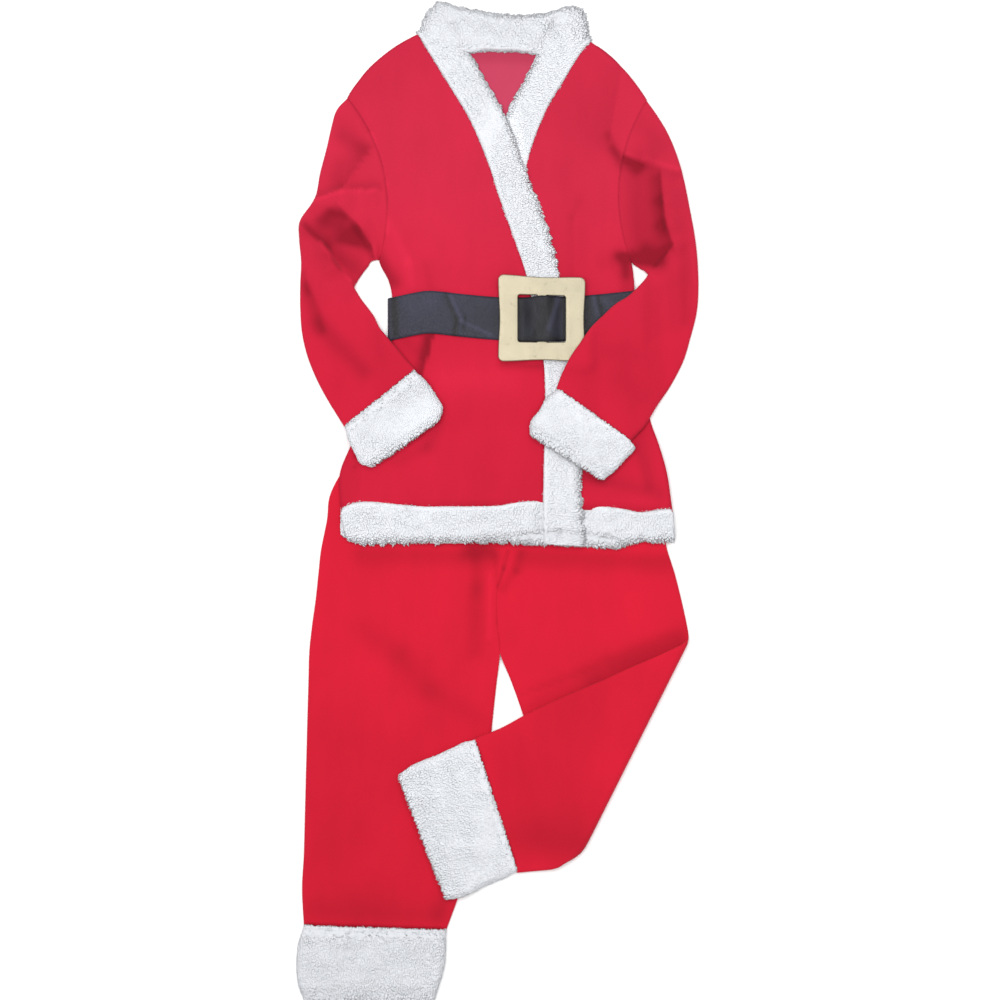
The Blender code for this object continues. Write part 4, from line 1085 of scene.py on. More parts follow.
def cuff_grid(rows, ground, seed):
    """Body of a fur cuff: a flattened ring with its wall, the pile stands on it."""
    rows = trimmed(finer(rows, CUFF_STEPS), CUFF_INSET, CUFF_INSET)
    length = np.linalg.norm(rows[-1, 0:2] - rows[-2, 0:2])
    back = (rows[-2] - rows[-1]) * EDGE_REACH / length
    shift = ease(np.linspace(0, 1, len(rows)) * 2 - 1)
    rows = rows + shift[:, None] * back[None, :]
    rows = lengthened(rows, FUR_OVERLAP)
    from_end = np.linspace(len(rows) - 1, CUFF_END_ROW, len(rows))
    rounding = np.sqrt(np.clip(from_end / CUFF_ROUND_ROWS, 0, 1))

    def height(x, y):
        lumps = uneven(x, y, seed, CUFF_SWELLS)
        round_end = 1 - CUFF_ROUND + CUFF_ROUND * rounding[:, None]
        return (CUFF_BODY + lumps) * round_end

    return tube_grid(rows, ground, height, CUFF_EDGE, wall=CUFF_WALL)


def lay_back(shapes, ground):
    """Back panel and its strip of hem."""
    left, right = body_sides()
    neck = finer(NECKLINE, BACK_STEPS)
    across = (neck[:, 0] - neck[0, 0]) / (neck[-1, 0] - neck[0, 0])
    rows = finer(np.hstack([left, right]), BACK_STEPS)
    places = spread_across(rows, across)
    roof = neck[:, 1] - places[0, :, 1]
    fade = np.clip(1 - np.arange(len(rows)) / (BACK_STEPS * ARMHOLE_ROWS), 0, 1)
    places[..., 1] += fade[:, None] * roof[None, :]
    x, y = places[..., 0], places[..., 1]
    slack = BACK_SLACK * (1 + swells(x, y, BACK_SWELL_SIZE, 5))
    shapes["jacket_back"] = np.dstack([places, ground.rest(places) + slack])
    hem = np.array([[x, y - SEAM, x, HEM_BACK_Y] for x, y in places[-1]])
    hem = rounded(hem, HEM_ROUND, True, True)
    shapes["hem_back"] = strip_grid(hem, ground, HEM_BACK_HEIGHT, 31)


def lay_front(name, side, band, ground, seed):
    """Front panel between the body's side edge and the seam of its fur band."""
    rows = finer(np.hstack([side, np.array(band, dtype=float)[:len(side), 0:2]]))
    rows = lengthened(rows, 0.0, HEM_TUCK)
    across = np.linspace(0, 1, int(mean_width(rows) / FINE))
    down = rows[0, 1] - rows[:, 1]
    places = spread_across(rows, across, SHOULDER_BOW[name] * (1 - ease(down / SHOULDER_REACH)))
    x, y = places[..., 0], places[..., 1]
    lift = body_lift(len(rows), across) + folds(x, y, FOLDS[name]) + puckers(rows, across, seed)
    lift += ease(across / SLACK_SHARE) * uneven(x, y, seed, FRONT_SWELLS, FRONT_SLACK)
    return np.dstack([places, ground.rest(places) + np.maximum(lift, LEAST_LIFT)])


def lay_jacket(shapes, ground):
    """Back, under front, top front, their fur bands and hems, and the collar."""
    left, right = body_sides()
    lay_back(shapes, ground)
    upper = np.array((0, 0, FLEECE))
    on_back = ground.with_layers(shapes["jacket_back"] + upper, shapes["hem_back"])
    shapes["jacket_front_right"] = lay_front("jacket_front_right", right, BAND_RIGHT, on_back, 21)
    band = lengthened(finer(BAND_RIGHT), STRIP_OVERLAP)
    shapes["band_right"] = strip_grid(trimmed(band, outer=-FUR_OVERLAP), on_back,
                                      pressed(band[:, 1] - HIDDEN_BELOW), 41, BAND_SLOPE)
    hem = rounded(finer(HEM_RIGHT), HEM_ROUND, False, True)
    shapes["hem_right"] = strip_grid(trimmed(hem, outer=-FUR_OVERLAP), on_back,
                                     pressed(hem[:, 0] - BAND_LEFT[-1][2]), 42)
    under = on_back.with_layers(shapes["jacket_front_right"] + upper, shapes["band_right"],
                                shapes["hem_right"])
    shapes["jacket_front_left"] = lay_front("jacket_front_left", left, BAND_LEFT, under, 22)
    band = lengthened(finer(BAND_LEFT), STRIP_OVERLAP)
    low, high = BELT_PRESS
    beside_belt = np.maximum(band[:, 1] - high, low - band[:, 1])
    above_hem = 1 - ease((HEM_LEFT[0][1] + DIP_FROM - band[:, 1]) / DIP_FADE)
    height = pressed(beside_belt) * (1 - BAND_DIP + BAND_DIP * above_hem)
    shapes["band_left"] = strip_grid(trimmed(band, outer=-FUR_OVERLAP), under, height, 43, BAND_SLOPE)
    hem = lengthened(rounded(finer(HEM_LEFT), HEM_ROUND, True, False), 0.0, STRIP_OVERLAP)
    dive = 1 - HEM_DIVE * ease((hem[:, 0] - BAND_LEFT[-1][0] + DIVE_FROM) / DIVE_FADE)
    shapes["hem_left"] = strip_grid(trimmed(hem, outer=-FUR_OVERLAP), under, FUR * dive, 44)
    collar = lengthened(finer(COLLAR), STRIP_OVERLAP, STRIP_OVERLAP)[:, [2, 3, 0, 1]]
    share = np.linspace(0, 1, len(collar))
    risen = ease(np.minimum(share, share[::-1]) / COLLAR_RISE)
    shapes["collar_back"] = strip_grid(collar, on_back, FUR + (COLLAR_HEIGHT - FUR) * risen, 45)
    return under.with_layers(shapes["jacket_front_left"] + upper, shapes["band_left"],
                             shapes["hem_left"], shapes["collar_back"])


def lay_belt(shapes, ground):
    """Belt round the jacket, passing over the bar of its buckle."""
    half = BUCKLE_HALF
    x = np.linspace(*BELT_ENDS, int((BELT_ENDS[1] - BELT_ENDS[0]) / BELT_STEP))
    front = belt_places(x)
    rest = ground.rest(front)
    low, high = (np.array(BUCKLE_CENTRE) + way * half for way in (-1, 1))
    tile = ground.heights[int((low[1] + ground.half_y) / CELL):int((high[1] + ground.half_y) / CELL) + 1,
                          int((low[0] + ground.half_x) / CELL):int((high[0] + ground.half_x) / CELL) + 1]
    frame_rest = tile.max() + 2 * AIR + BELT_THICK + BUCKLE_SLACK
    shapes["buckle_rest"] = frame_rest
    bar = np.abs(x - BUCKLE_CENTRE[0])
    hump = ease((BELT_BELOW_BAR - bar) / (BELT_BELOW_BAR - BELT_HUMP_FLAT))[None, :]
    rest = rest + np.maximum(frame_rest + BUCKLE_THICK + AIR - rest, 0) * hump
    near, far = BAR_CREASE_ENDS
    deepest = BELT_CREASE[0] + BAR_CREASE * ease((far - bar) / (far - near))[None, :]
    creased = rest + np.clip(folds(front[..., 0], front[..., 1], FOLDS["belt"]), deepest, BELT_CREASE[1])
    back = belt_places(np.linspace(BELT_ENDS[1], BELT_ENDS[0], BACK_COLUMNS))
    runs = [np.dstack([front, creased])]
    for end, way, start in ((BELT_ENDS[1], 1, creased[:, -1]), (BELT_ENDS[0], -1, creased[:, 0])):
        turn = []
        for angle in np.radians(np.arange(*BELT_TURN_ANGLES)):
            places = belt_places(np.array([end + way * BELT_TURN * math.cos(angle)]))
            height = BELT_THICK + (0.5 + 0.5 * math.sin(angle)) * (start - BELT_THICK)
            turn.append(np.dstack([places, height[:, None]]))
        if way < 0:
            turn.reverse()
        runs.extend(turn)
        if way > 0:
            runs.append(np.dstack([back, np.full(back.shape[:2], BELT_THICK)]))
    shapes["belt"] = np.concatenate(runs, axis=1)
    corners = [[(BUCKLE_CENTRE[0] + x * half, BUCKLE_CENTRE[1] + y * half, frame_rest + BUCKLE_THICK)
                for x in (-1, 1)] for y in (-1, 1)]
    widened = front.copy()
    widened[:, 0, 0] -= BELT_TURN + BELT_THICK
    widened[:, -1, 0] += BELT_TURN + BELT_THICK
    return ground.with_layers(np.dstack([widened, creased + BELT_THICK]), np.array(corners))


def meet_front(grid, front, ground, height):
    """Bring a sleeve's first sections to the height of the front that they are sewn to."""
    edge = front[np.argsort(front[:, 0, 1]), 0]
    seam = np.interp(grid[..., 1], edge[:, 1], edge[:, 2] + FLEECE)
    lower = ground.rest(grid[..., :2])
    over = np.maximum(lower, ground.rest(grid[..., :2], soft=2 * DRAPE_SOFT))
    tall = over - lower + height(grid[..., 0], grid[..., 1])
    share = 1 - ease(np.arange(len(grid)) / SEAM_ROWS)[:, None]
    meet = 1 + (np.clip((seam - lower) / tall, *SEAM_LIMITS) - 1) * share
    grid[..., 2] = lower + (grid[..., 2] - lower) * meet


def lay_arms(shapes, ground):
    """Sleeves and their cuffs: the upper arms lie on the table, the forearms across the jacket."""
    under_arms = ground.below(ELBOW_Y)
    for side, arm, sleeve, cuff, gap, seed in (
            ("left", ARMHOLE_LEFT, SLEEVE_LEFT, CUFF_LEFT, -ARMHOLE_GAP, 51),
            ("right", ARMHOLE_RIGHT, SLEEVE_RIGHT, CUFF_RIGHT, ARMHOLE_GAP, 52)):
        tip_x, tip_y, pit_x, pit_y, bow = arm
        rows = finer([(tip_x + gap, tip_y, pit_x + gap, pit_y), *sleeve])
        bows = bow * np.clip(1 - np.arange(len(rows)) / ROW_STEPS, 0, 1)
        height = tube_height(SLEEVE_HEIGHT, SLEEVE_MOST, FOLDS["sleeve_" + side], seed)
        grid = tube_grid(rows, under_arms, height, TUBE_EDGE, bow=bows)
        meet_front(grid, shapes["jacket_front_" + side], under_arms, height)
        shapes["sleeve_" + side] = grid
        shapes["cuff_" + side] = cuff_grid(cuff, under_arms, seed + 3)


@functools.cache
def laid_suit():
    """Every piece's grid of points, laid in the order in which the pieces lie on each other."""
    shapes = {}
    ground = lay_trousers(shapes)
    under_belt = belt_places(np.linspace(*BELT_ENDS, BACK_COLUMNS))
    ground = ground.with_layers(np.dstack([under_belt, np.full(under_belt.shape[:2], BELT_THICK)]))
    ground = lay_belt(shapes, lay_jacket(shapes, ground))
    lay_arms(shapes, ground)
    return shapes


class Socket:
    """An output of a node, with the arithmetic that a pattern needs."""

    def __init__(self, sheet, socket):
        self.sheet = sheet
        self.socket = socket

    def _maths(self, operation, first, second):
        return self.sheet.node("ShaderNodeMath", {"operation": operation}, {0: first, 1: second})

    def __add__(self, other):
        return self._maths("ADD", self, other)

    __radd__ = __add__

    def __sub__(self, other):
        return self._maths("SUBTRACT", self, other)

    def __rsub__(self, other):
        return self._maths("SUBTRACT", other, self)

    def __mul__(self, other):
        return self._maths("MULTIPLY", self, other)

    __rmul__ = __mul__

    def __pow__(self, other):
        return self._maths("POWER", self, other)

    def kept(self, low=0.0, high=1.0):
        """The value, kept between two limits."""
        return self._maths("MINIMUM", self._maths("MAXIMUM", self, low), high)

    def between(self, low, high):
        """0 below one value, 1 above another, and soft in between."""
        return self.sheet.node("ShaderNodeMapRange", {"interpolation_type": "SMOOTHSTEP"},
                               {"Value": self, "From Min": low, "From Max": high})


class Sheet:
    """A node tree that is written as expressions."""

    def __init__(self, tree):
        self.tree = tree

    def node(self, kind, settings=None, values=None, output=0):
        """One node: its settings first, then the values or links of its sockets."""
        made = self.tree.nodes.new(kind)
        for name, value in (settings or {}).items():
            setattr(made, name, value)
        for name, value in (values or {}).items():
            if isinstance(value, Socket):
                self.tree.links.new(value.socket, made.inputs[name])
            else:
                made.inputs[name].default_value = value
        return Socket(self, made.outputs[output])

    def place(self, output="Object"):
        """Where a point of the surface is, in its piece's own space."""
        return self.node("ShaderNodeTexCoord", output=output)

    def noise(self, place, scale, detail, roughness=0.5, distortion=0.0):
        """Soft noise between 0 and 1; scale is its number of swells to a metre."""
        return self.node("ShaderNodeTexNoise", None, {
            "Vector": place, "Scale": scale, "Detail": detail, "Roughness": roughness,
            "Distortion": distortion})

    def blend(self, share, first, second):
        """A colour between two, by a share."""
        return self.node("ShaderNodeMix", {"data_type": "RGBA"}, {0: share, 6: first, 7: second}, 2)

    def stretched(self, place, scale, turn=0.0):
        """Places scaled and turned, for noise that is longer one way."""
        return self.node("ShaderNodeMapping", None, {
            "Vector": place, "Scale": scale, "Rotation": (0, 0, turn)})

    def attribute(self, name, output="Fac"):
        """What the mesh says at its points."""
        return self.node("ShaderNodeAttribute", {"attribute_name": name}, None, output)


def new_finish(name):
    """A material, its tree and the function that sets or links its surface's sockets."""
    material = bpy.data.materials.new(name)
    material.use_nodes = True
    shader = material.node_tree.nodes["Principled BSDF"]
    sheet = Sheet(material.node_tree)

    def surface(**values):
        for key, value in values.items():
            socket = shader.inputs[key.replace("_", " ")]
            if isinstance(value, Socket):
                sheet.tree.links.new(value.socket, socket)
            else:
                socket.default_value = value
    return material, sheet, surface


def tinted(colour, times):
    """A lighter or darker colour, ready for a socket."""
    return (*(min(1.0, part * times) for part in colour[:3]), 1.0)


def bumped(sheet, height, distance, strength):
    """A surface's direction with a relief on it."""
    return sheet.node("ShaderNodeBump", None, {
        "Height": height, "Distance": distance, "Strength": strength})


@functools.cache
def fleece(name, colour, wrong_side=None):
    """Brushed polyester fleece: cloudy where the nap lies differently, with short matted fibres."""
    cloth = bpy.context.scene.suit_cloth
    material, sheet, surface = new_finish(name)
    place = sheet.place()
    clouds = sheet.noise(place, 9.0, 2.0)
    brushed = sheet.noise(sheet.stretched(place, (60.0, 18.0, 30.0), 0.4), 1.0, 2.0)
    matted = sheet.noise(place, 420.0, 3.0, 0.6)
    nap = sheet.noise(place, 1300.0, 2.0, 0.6)
    tone = (clouds - 0.5) * 0.9 + (brushed - 0.5) * 0.35 + (matted - 0.5) * 0.35 + (nap - 0.5) * 0.3
    shade = (tone + 0.5).kept()
    # Painted sheen: the red turns from deep to brighter and pinker higher up the suit
    height = sheet.node("ShaderNodeSeparateXYZ", None, {"Vector": place}, "Y").between(*DEEP_BELOW)
    deep = tuple(part * share for part, share in zip(colour, DEEP))
    away, towards = (sheet.blend(height, tinted(deep, tint), tinted(colour, tint)) for tint in NAP_TINTS)
    colour_now = sheet.blend(shade, away, towards)
    if wrong_side is not None:
        facing = sheet.node("ShaderNodeSeparateXYZ", None, {"Vector": sheet.place("Normal")}, "Z")
        inside = sheet.blend(shade, *(tinted(wrong_side, tint) for tint in INSIDE_TINTS))
        colour_now = sheet.blend(facing.between(-0.2, 0.2), colour_now, inside)
    # Painted shade in creases and painted highlights on ridges, from the shade tables
    painted_shade = sheet.attribute("shade")
    darkest, brightest = tinted(deep, SHADE_TINTS[0]), tinted(colour, SHADE_TINTS[1])
    colour_now = sheet.blend((painted_shade * SHADE_STRENGTH).kept(), colour_now, darkest)
    colour_now = sheet.blend((painted_shade * -SHADE_STRENGTH).kept(), colour_now, brightest)
    relief = matted * 0.6 + nap * 0.4
    surface(Base_Color=colour_now, Roughness=0.86 + (matted - 0.5) * 0.12,
            Normal=bumped(sheet, relief, 0.0007, cloth.nap),
            Sheen_Weight=0.16, Sheen_Roughness=0.4, Sheen_Tint=(1.0, 0.6, 0.68, 1.0),
            Specular_IOR_Level=0.12)
    return material


@functools.cache
def fur_backing(name):
    """What shows between the locks: dense underfur, with painted shade that makes it darker than their
    tips.
    """
    fur = bpy.context.scene.suit_fur
    material, sheet, surface = new_finish(name)
    place = sheet.place()
    fluff = sheet.noise(place, 520.0, 3.0, 0.6, 0.4)
    clumps = sheet.noise(place, 130.0, 2.0)
    # Painted shade between the locks; the shade attribute adds the fur's painted shade and painted
    # highlights
    shade = (0.75 + (fluff - 0.5) * 0.6 + (clumps - 0.5) * 0.3 - sheet.attribute("shade")).kept()
    surface(Base_Color=sheet.blend(shade, tinted(fur.colour, 0.8), tinted(fur.colour, 0.96)),
            Roughness=0.95, Normal=bumped(sheet, fluff * 0.7 + clumps * 0.3, 0.0006, 0.6),
            Specular_IOR_Level=0.1)
    return material


@functools.cache
def fur_locks(name):
    """The pile: white locks, painted lighter at their roots to lift the shade between them."""
    fur = bpy.context.scene.suit_fur
    material, sheet, surface = new_finish(name)
    place = sheet.place()
    clumps = sheet.noise(place, 90.0, 2.0)
    strands = sheet.noise(place, 900.0, 2.0, 0.6)
    tip = sheet.attribute("tip")
    # Painted light: roots lighter than tips, to lift the shade that falls between the locks
    shade = 0.85 - tip * 0.7 + (clumps - 0.5) * 0.15 + (strands - 0.5) * 0.1
    colour = sheet.blend(shade.kept(), tinted(fur.colour, 0.93), tinted(fur.colour, 1.15))
    side = sheet.node("ShaderNodeNewGeometry", output="Normal")
    bed = sheet.attribute("bed", "Vector")
    alike = sheet.node("ShaderNodeVectorMath", {"operation": "DOT_PRODUCT"}, {0: side, 1: bed}, "Value")
    bed = sheet.node("ShaderNodeVectorMath", {"operation": "SCALE"},
                     {0: bed, "Scale": (alike + BED_WRAP).kept() * BED_LIGHT})
    lit = sheet.node("ShaderNodeVectorMath", {"operation": "ADD"}, {0: side, 1: bed})
    lit = sheet.node("ShaderNodeVectorMath", {"operation": "NORMALIZE"}, {0: lit})
    # Painted shade and painted highlights from the fur's shade table
    nap = sheet.attribute("shade")
    colour = sheet.blend((nap * -1.0).kept(), colour, tinted(fur.colour, 1.28))
    surface(Base_Color=sheet.blend((nap * 0.8).kept(), colour, tinted(fur.colour, 0.55)),
            Roughness=0.95, Normal=lit, Specular_IOR_Level=0.1)
    return material


@functools.cache
def belt_vinyl(name):
    """Soft black vinyl on cloth: fine grain, dull wear, small scuffs, painted shade and painted
    highlights.
    """
    colour = bpy.context.scene.suit_belt.vinyl
    material, sheet, surface = new_finish(name)
    place = sheet.place()
    grain = sheet.node("ShaderNodeTexVoronoi", {"feature": "DISTANCE_TO_EDGE"},
                       {"Vector": place, "Scale": 1100.0}, "Distance").between(0.0, 0.25)
    clouds = sheet.noise(place, 28.0, 3.0)
    scuffs = sheet.noise(sheet.stretched(place, (60.0, 420.0, 60.0)), 1.0, 3.0, 0.6).between(0.58, 0.78)
    # The shade attribute paints shade into creases and along the window's rim, and highlights on folds
    shade = 0.25 + (clouds - 0.5) * 0.4 + scuffs * 0.12 + grain * 0.05 - sheet.attribute("shade")
    surface(Base_Color=sheet.blend(shade.kept(), tinted(colour, 0.2), tinted(colour, 3.0)),
            Roughness=(0.42 + clouds * 0.12 + scuffs * 0.12).kept(),
            Normal=bumped(sheet, grain * 0.5 + clouds * 1.6, 0.0004, 0.7),
            Specular_IOR_Level=0.4)
    return material


@functools.cache
def satin_gold(name):
    """Pale gold plating over a pressed buckle: satin, with faint waves, dull spots and scratches."""
    colour = bpy.context.scene.suit_belt.gold
    material, sheet, surface = new_finish(name)
    place = sheet.place()
    waves = sheet.noise(place, 45.0, 1.0)
    spots = sheet.noise(place, 160.0, 3.0, 0.6).between(0.62, 0.78)
    brushed = sheet.stretched(place, (900.0, 60.0, 200.0), 0.7)
    scratches = sheet.noise(brushed, 1.0, 2.0).between(0.62, 0.72)
    shade = (0.55 + (waves - 0.5) * 0.9 - spots * 0.25 + scratches * 0.1).kept()
    surface(Base_Color=sheet.blend(shade, tinted(colour, 0.86), tinted(colour, 1.06)),
            Metallic=0.55, Roughness=(0.42 + spots * 0.15 - scratches * 0.06).kept(),
            Normal=bumped(sheet, waves * 2.0 + scratches * 0.1, 0.0006, 0.8))
    return material


def mesh_of(name, grid, closed=False, capped=False, looped=False, flat=False, comb=None, pile=None):
    """Mesh over a grid of board places. Closed joins its last column to its first, looped its last row
    to its first, and flat is a single layer. Comb and pile say how the fur on each point lies."""
    # Painted shade and painted highlights at each point, from the shade tables
    shades = FUR_SHADES if comb is not None else SHADES.get(name, ())
    shade = np.clip(folds(grid[..., 0], grid[..., 1], shades), -1, 1)
    shape = bmesh.new()
    dark = shape.verts.layers.float.new("shade")
    ways = shape.verts.layers.float_vector.new("comb") if comb is not None else None
    cover = shape.verts.layers.float.new("pile") if pile is not None else None
    corners = []
    for row, places in enumerate((grid + BOARD_SHIFT) * MM):
        corners.append([shape.verts.new(place) for place in places])
        for column, vert in enumerate(corners[-1]):
            vert[dark] = shade[row, column]
            if ways is not None:
                vert[ways] = comb[row, column]
            if cover is not None:
                vert[cover] = pile[row, column]
    columns = len(corners[0])
    if looped:
        corners.append(corners[0])
    for low, high in zip(corners, corners[1:]):
        for column in range(columns if closed else columns - 1):
            after = (column + 1) % columns
            shape.faces.new((low[column], low[after], high[after], high[column]))
    if capped:
        shape.faces.new(corners[0][::-1])
        shape.faces.new(corners[-1])
    bmesh.ops.remove_doubles(shape, verts=shape.verts, dist=WELD)
    shape.normal_update()
    centre = sum((vert.co for vert in shape.verts), Vector()) / len(shape.verts)
    if flat:
        facing = sum(face.normal.z for face in shape.faces)
    else:
        facing = sum(face.normal.dot(face.calc_center_median() - centre) * face.calc_area()
                     for face in shape.faces)
    if facing < 0:
        bmesh.ops.reverse_faces(shape, faces=shape.faces)
    mesh = bpy.data.meshes.new(name)
    shape.to_mesh(mesh)
    shape.free()
    mesh.shade_smooth()
    return mesh


def add_piece(name, mesh, material, node):
    """A finished piece in the scene, which rides on the suit and stands for its plain solid."""
    piece = bpy.data.objects.new(name, mesh)
    if material is not None:
        mesh.materials.append(material)
    bpy.context.scene.collection.objects.link(piece)
    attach(piece, BODY)
    if node:
        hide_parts(node)
    return piece


def add_wall(piece, thickness, offset):
    """Give an open surface its thickness: offset 1 outside it, -1 inside."""
    wall = piece.modifiers.new("wall", "SOLIDIFY")
    wall.thickness = thickness * MM
    wall.offset = offset


def flatten(piece):
    """Make the piece's modifiers part of its mesh."""
    graph = bpy.context.evaluated_depsgraph_get()
    mesh = bpy.data.meshes.new_from_object(piece.evaluated_get(graph))
    piece.modifiers.clear()
    mesh.name = piece.name
    piece.data = mesh


def unit(vectors):
    """Vectors of the same directions and of length 1."""
    return vectors / np.maximum(np.linalg.norm(vectors, axis=-1, keepdims=True), 1e-9)


def lock_of_fur():
    """One lock of pile, a unit long and a unit wide: a flat, bent tongue with its tip marked."""
    verts, faces, tips = [], [], []
    for height, radius in LOCK_RINGS:
        for side in range(LOCK_SIDES):
            angle = 2 * math.pi * side / LOCK_SIDES
            verts.append((LOCK_FLAT * radius * math.cos(angle) + LOCK_BEND * height ** 2,
                          radius * math.sin(angle), height))
            tips.append(height)
    verts.append((LOCK_TIP, 0.0, 1.0))
    tips.append(1.0)
    last = (len(LOCK_RINGS) - 1) * LOCK_SIDES
    for low in range(0, last, LOCK_SIDES):
        for side in range(LOCK_SIDES):
            after = (side + 1) % LOCK_SIDES
            high = low + LOCK_SIDES
            faces.append((low + side, low + after, high + after, high + side))
    for side in range(LOCK_SIDES):
        faces.append((last + side, last + (side + 1) % LOCK_SIDES, len(verts) - 1))
    mesh = bpy.data.meshes.new("lock of fur")
    mesh.from_pydata(verts, [], faces)
    mesh.attributes.new("tip", "FLOAT", "POINT").data.foreach_set("value", tips)
    mesh.shade_smooth()
    return mesh


@functools.cache
def pile_tree():
    """Geometry Nodes that stand locks of fur on a surface, combed the way that its points say."""
    tree = bpy.data.node_groups.new("Fur pile", "GeometryNodeTree")
    sockets = (("Surface", "Geometry"), ("Lock", "Object"), ("Spacing", "Float"), ("Length", "Float"),
               ("Width", "Float"), ("Lean", "Float"), ("Tousle", "Float"), ("Seed", "Int"),
               ("Finish", "Material"))
    for name, kind in sockets:
        tree.interface.new_socket(name, in_out="INPUT", socket_type="NodeSocket" + kind)
    tree.interface.new_socket("Pile", in_out="OUTPUT", socket_type="NodeSocketGeometry")
    sheet = Sheet(tree)
    inputs = tree.nodes.new("NodeGroupInput")
    given = {name: Socket(sheet, inputs.outputs[name]) for name, _ in sockets}

    def vectors(operation, first, second):
        return sheet.node("ShaderNodeVectorMath", {"operation": operation}, {0: first, 1: second})

    def scaled(vector, size):
        return sheet.node("ShaderNodeVectorMath", {"operation": "SCALE"}, {0: vector, "Scale": size})

    def named(name, kind):
        return sheet.node("GeometryNodeInputNamedAttribute", {"data_type": kind}, {"Name": name})

    points = sheet.node("GeometryNodeDistributePointsOnFaces", {"distribute_method": "POISSON"}, {
        "Mesh": given["Surface"], "Distance Min": given["Spacing"] * LOCK_GAP,
        "Density Max": given["Spacing"] ** -2.0, "Density Factor": named("pile", "FLOAT"),
        "Seed": given["Seed"]})
    normal = Socket(sheet, points.socket.node.outputs["Normal"])
    where = sheet.node("GeometryNodeInputPosition")
    drift = sheet.node("ShaderNodeTexNoise", None,
                       {"Vector": where, "Scale": DRIFT_SCALE, "Detail": 1.0}, "Color")
    stray = sheet.node("FunctionNodeRandomValue", {"data_type": "FLOAT_VECTOR"},
                       {0: (-1.0,) * 3, 1: (1.0,) * 3, "Seed": given["Seed"]})
    heading = vectors("ADD", normal, scaled(named("comb", "FLOAT_VECTOR"), given["Lean"]))
    reach = sheet.node("ShaderNodeVectorMath", {"operation": "LENGTH"},
                       {0: named("comb", "FLOAT_VECTOR")}, "Value")
    drift = vectors("SUBTRACT", drift, (0.5,) * 3)
    heading = vectors("ADD", heading, scaled(drift, reach * DRIFT[0] - DRIFT[1]))
    heading = vectors("ADD", heading, scaled(stray, given["Tousle"]))
    under = vectors("SUBTRACT", scaled(stray, LOCK_TWIST), normal)
    turned = sheet.node("FunctionNodeAxesToRotation", {"primary_axis": "Z", "secondary_axis": "X"},
                        {"Primary Axis": heading, "Secondary Axis": under})
    size = sheet.node("FunctionNodeRandomValue", {"data_type": "FLOAT"},
                      {2: LOCK_SIZES[0], 3: LOCK_SIZES[1], "Seed": given["Seed"] + 13}, 1)
    wide = given["Width"] * size
    scale = sheet.node("ShaderNodeCombineXYZ", None,
                       {"X": wide, "Y": wide, "Z": given["Length"] * size * reach})
    bed = vectors("ADD", normal, (0.0, 0.0, BED_LIFT))
    points = sheet.node("GeometryNodeStoreNamedAttribute", {"data_type": "FLOAT_VECTOR"},
                        {"Geometry": points, "Name": "bed", "Value": bed})
    lock = sheet.node("GeometryNodeObjectInfo", None, {"Object": given["Lock"]}, "Geometry")
    locks = sheet.node("GeometryNodeInstanceOnPoints", None, {
        "Points": points, "Instance": lock, "Rotation": turned, "Scale": scale})
    plain = sheet.node("GeometryNodeRealizeInstances", None, {"Geometry": locks})
    done = sheet.node("GeometryNodeSetMaterial", None, {"Geometry": plain, "Material": given["Finish"]})
    tree.links.new(done.socket, tree.nodes.new("NodeGroupOutput").inputs["Pile"])
    return tree


def add_pile(backing, seed):
    """Locks of fur on a fur strip's body, as a plain mesh that goes with it."""
    fur = bpy.context.scene.suit_fur
    lock = bpy.data.objects.new("lock of fur", lock_of_fur())
    bpy.context.scene.collection.objects.link(lock)
    surface = bpy.data.objects.new("fur surface", backing.data.copy())
    bpy.context.scene.collection.objects.link(surface)
    modifier = surface.modifiers.new("pile", "NODES")
    modifier.node_group = pile_tree()
    given = {"Lock": lock, "Spacing": fur.spacing, "Length": fur.length, "Width": fur.width,
             "Lean": fur.lean, "Tousle": fur.tousle, "Seed": seed, "Finish": fur_locks("fur locks")}
    for item in pile_tree().interface.items_tree:
        if item.in_out == "INPUT" and item.name in given:
            modifier[item.identifier] = given[item.name]
    graph = bpy.context.evaluated_depsgraph_get()
    mesh = bpy.data.meshes.new_from_object(surface.evaluated_get(graph))
    for vert in mesh.vertices:
        vert.co.z = max(vert.co.z, LEAST_HEIGHT)
    for item in (surface, lock):
        bpy.data.objects.remove(item)
    return add_piece(backing.name + "_pile", mesh, None, None)


def add_fur(name, mesh, seed):
    """A fur piece: its body in the space of its solid, and its pile."""
    backing = add_piece(name + "_fur", mesh, fur_backing("underfur"), name)
    pile = add_pile(backing, seed)


def combed(share, turn):
    """How strongly the pile is combed on, at shares of the way from its sewn edge: back at first."""
    return (1 + COMB_BACK) * ease(share / turn) - COMB_BACK


def flared(share):
    """How much more the pile leans towards its free edge."""
    return 1 + COMB_FLARE * ease(share * 4 - 3)


def add_fur_strip(name, seed, cover=None, loose_below=None):
    """One strip of fur, combed from its sewn edge to its free one, or out of both where it is loose."""
    grid = laid_suit()[name]
    across = unit((grid[:, FUR_COLUMNS - 1] - grid[:, 0]) * (1, 1, 0))
    along = unit(np.gradient(grid[:, 0], axis=0) * (1, 1, 0))
    share = np.linspace(0, 1, FUR_COLUMNS)
    share = np.concatenate([share, share[::-1]])[None, :grid.shape[1], None]
    way = combed(share, COMB_TURN)
    if loose_below is not None:
        loose = ease((loose_below - grid[:, 0, 1]) / LOOSE_FADE)[:, None, None]
        way = way - LOOSE_COMB * loose * (1 - ease(share / LOOSE_TURN))
    comb = (across[:, None, :] * way + COMB_ALONG * along[:, None, :]) * flared(share)
    pile = np.zeros(grid.shape[:2])
    pile[:, :FUR_COLUMNS] = 1.0 if cover is None else cover(grid)[:, :FUR_COLUMNS]
    mesh = mesh_of(name, grid, closed=True, capped=True, comb=comb, pile=pile)
    add_fur(name, mesh, seed)


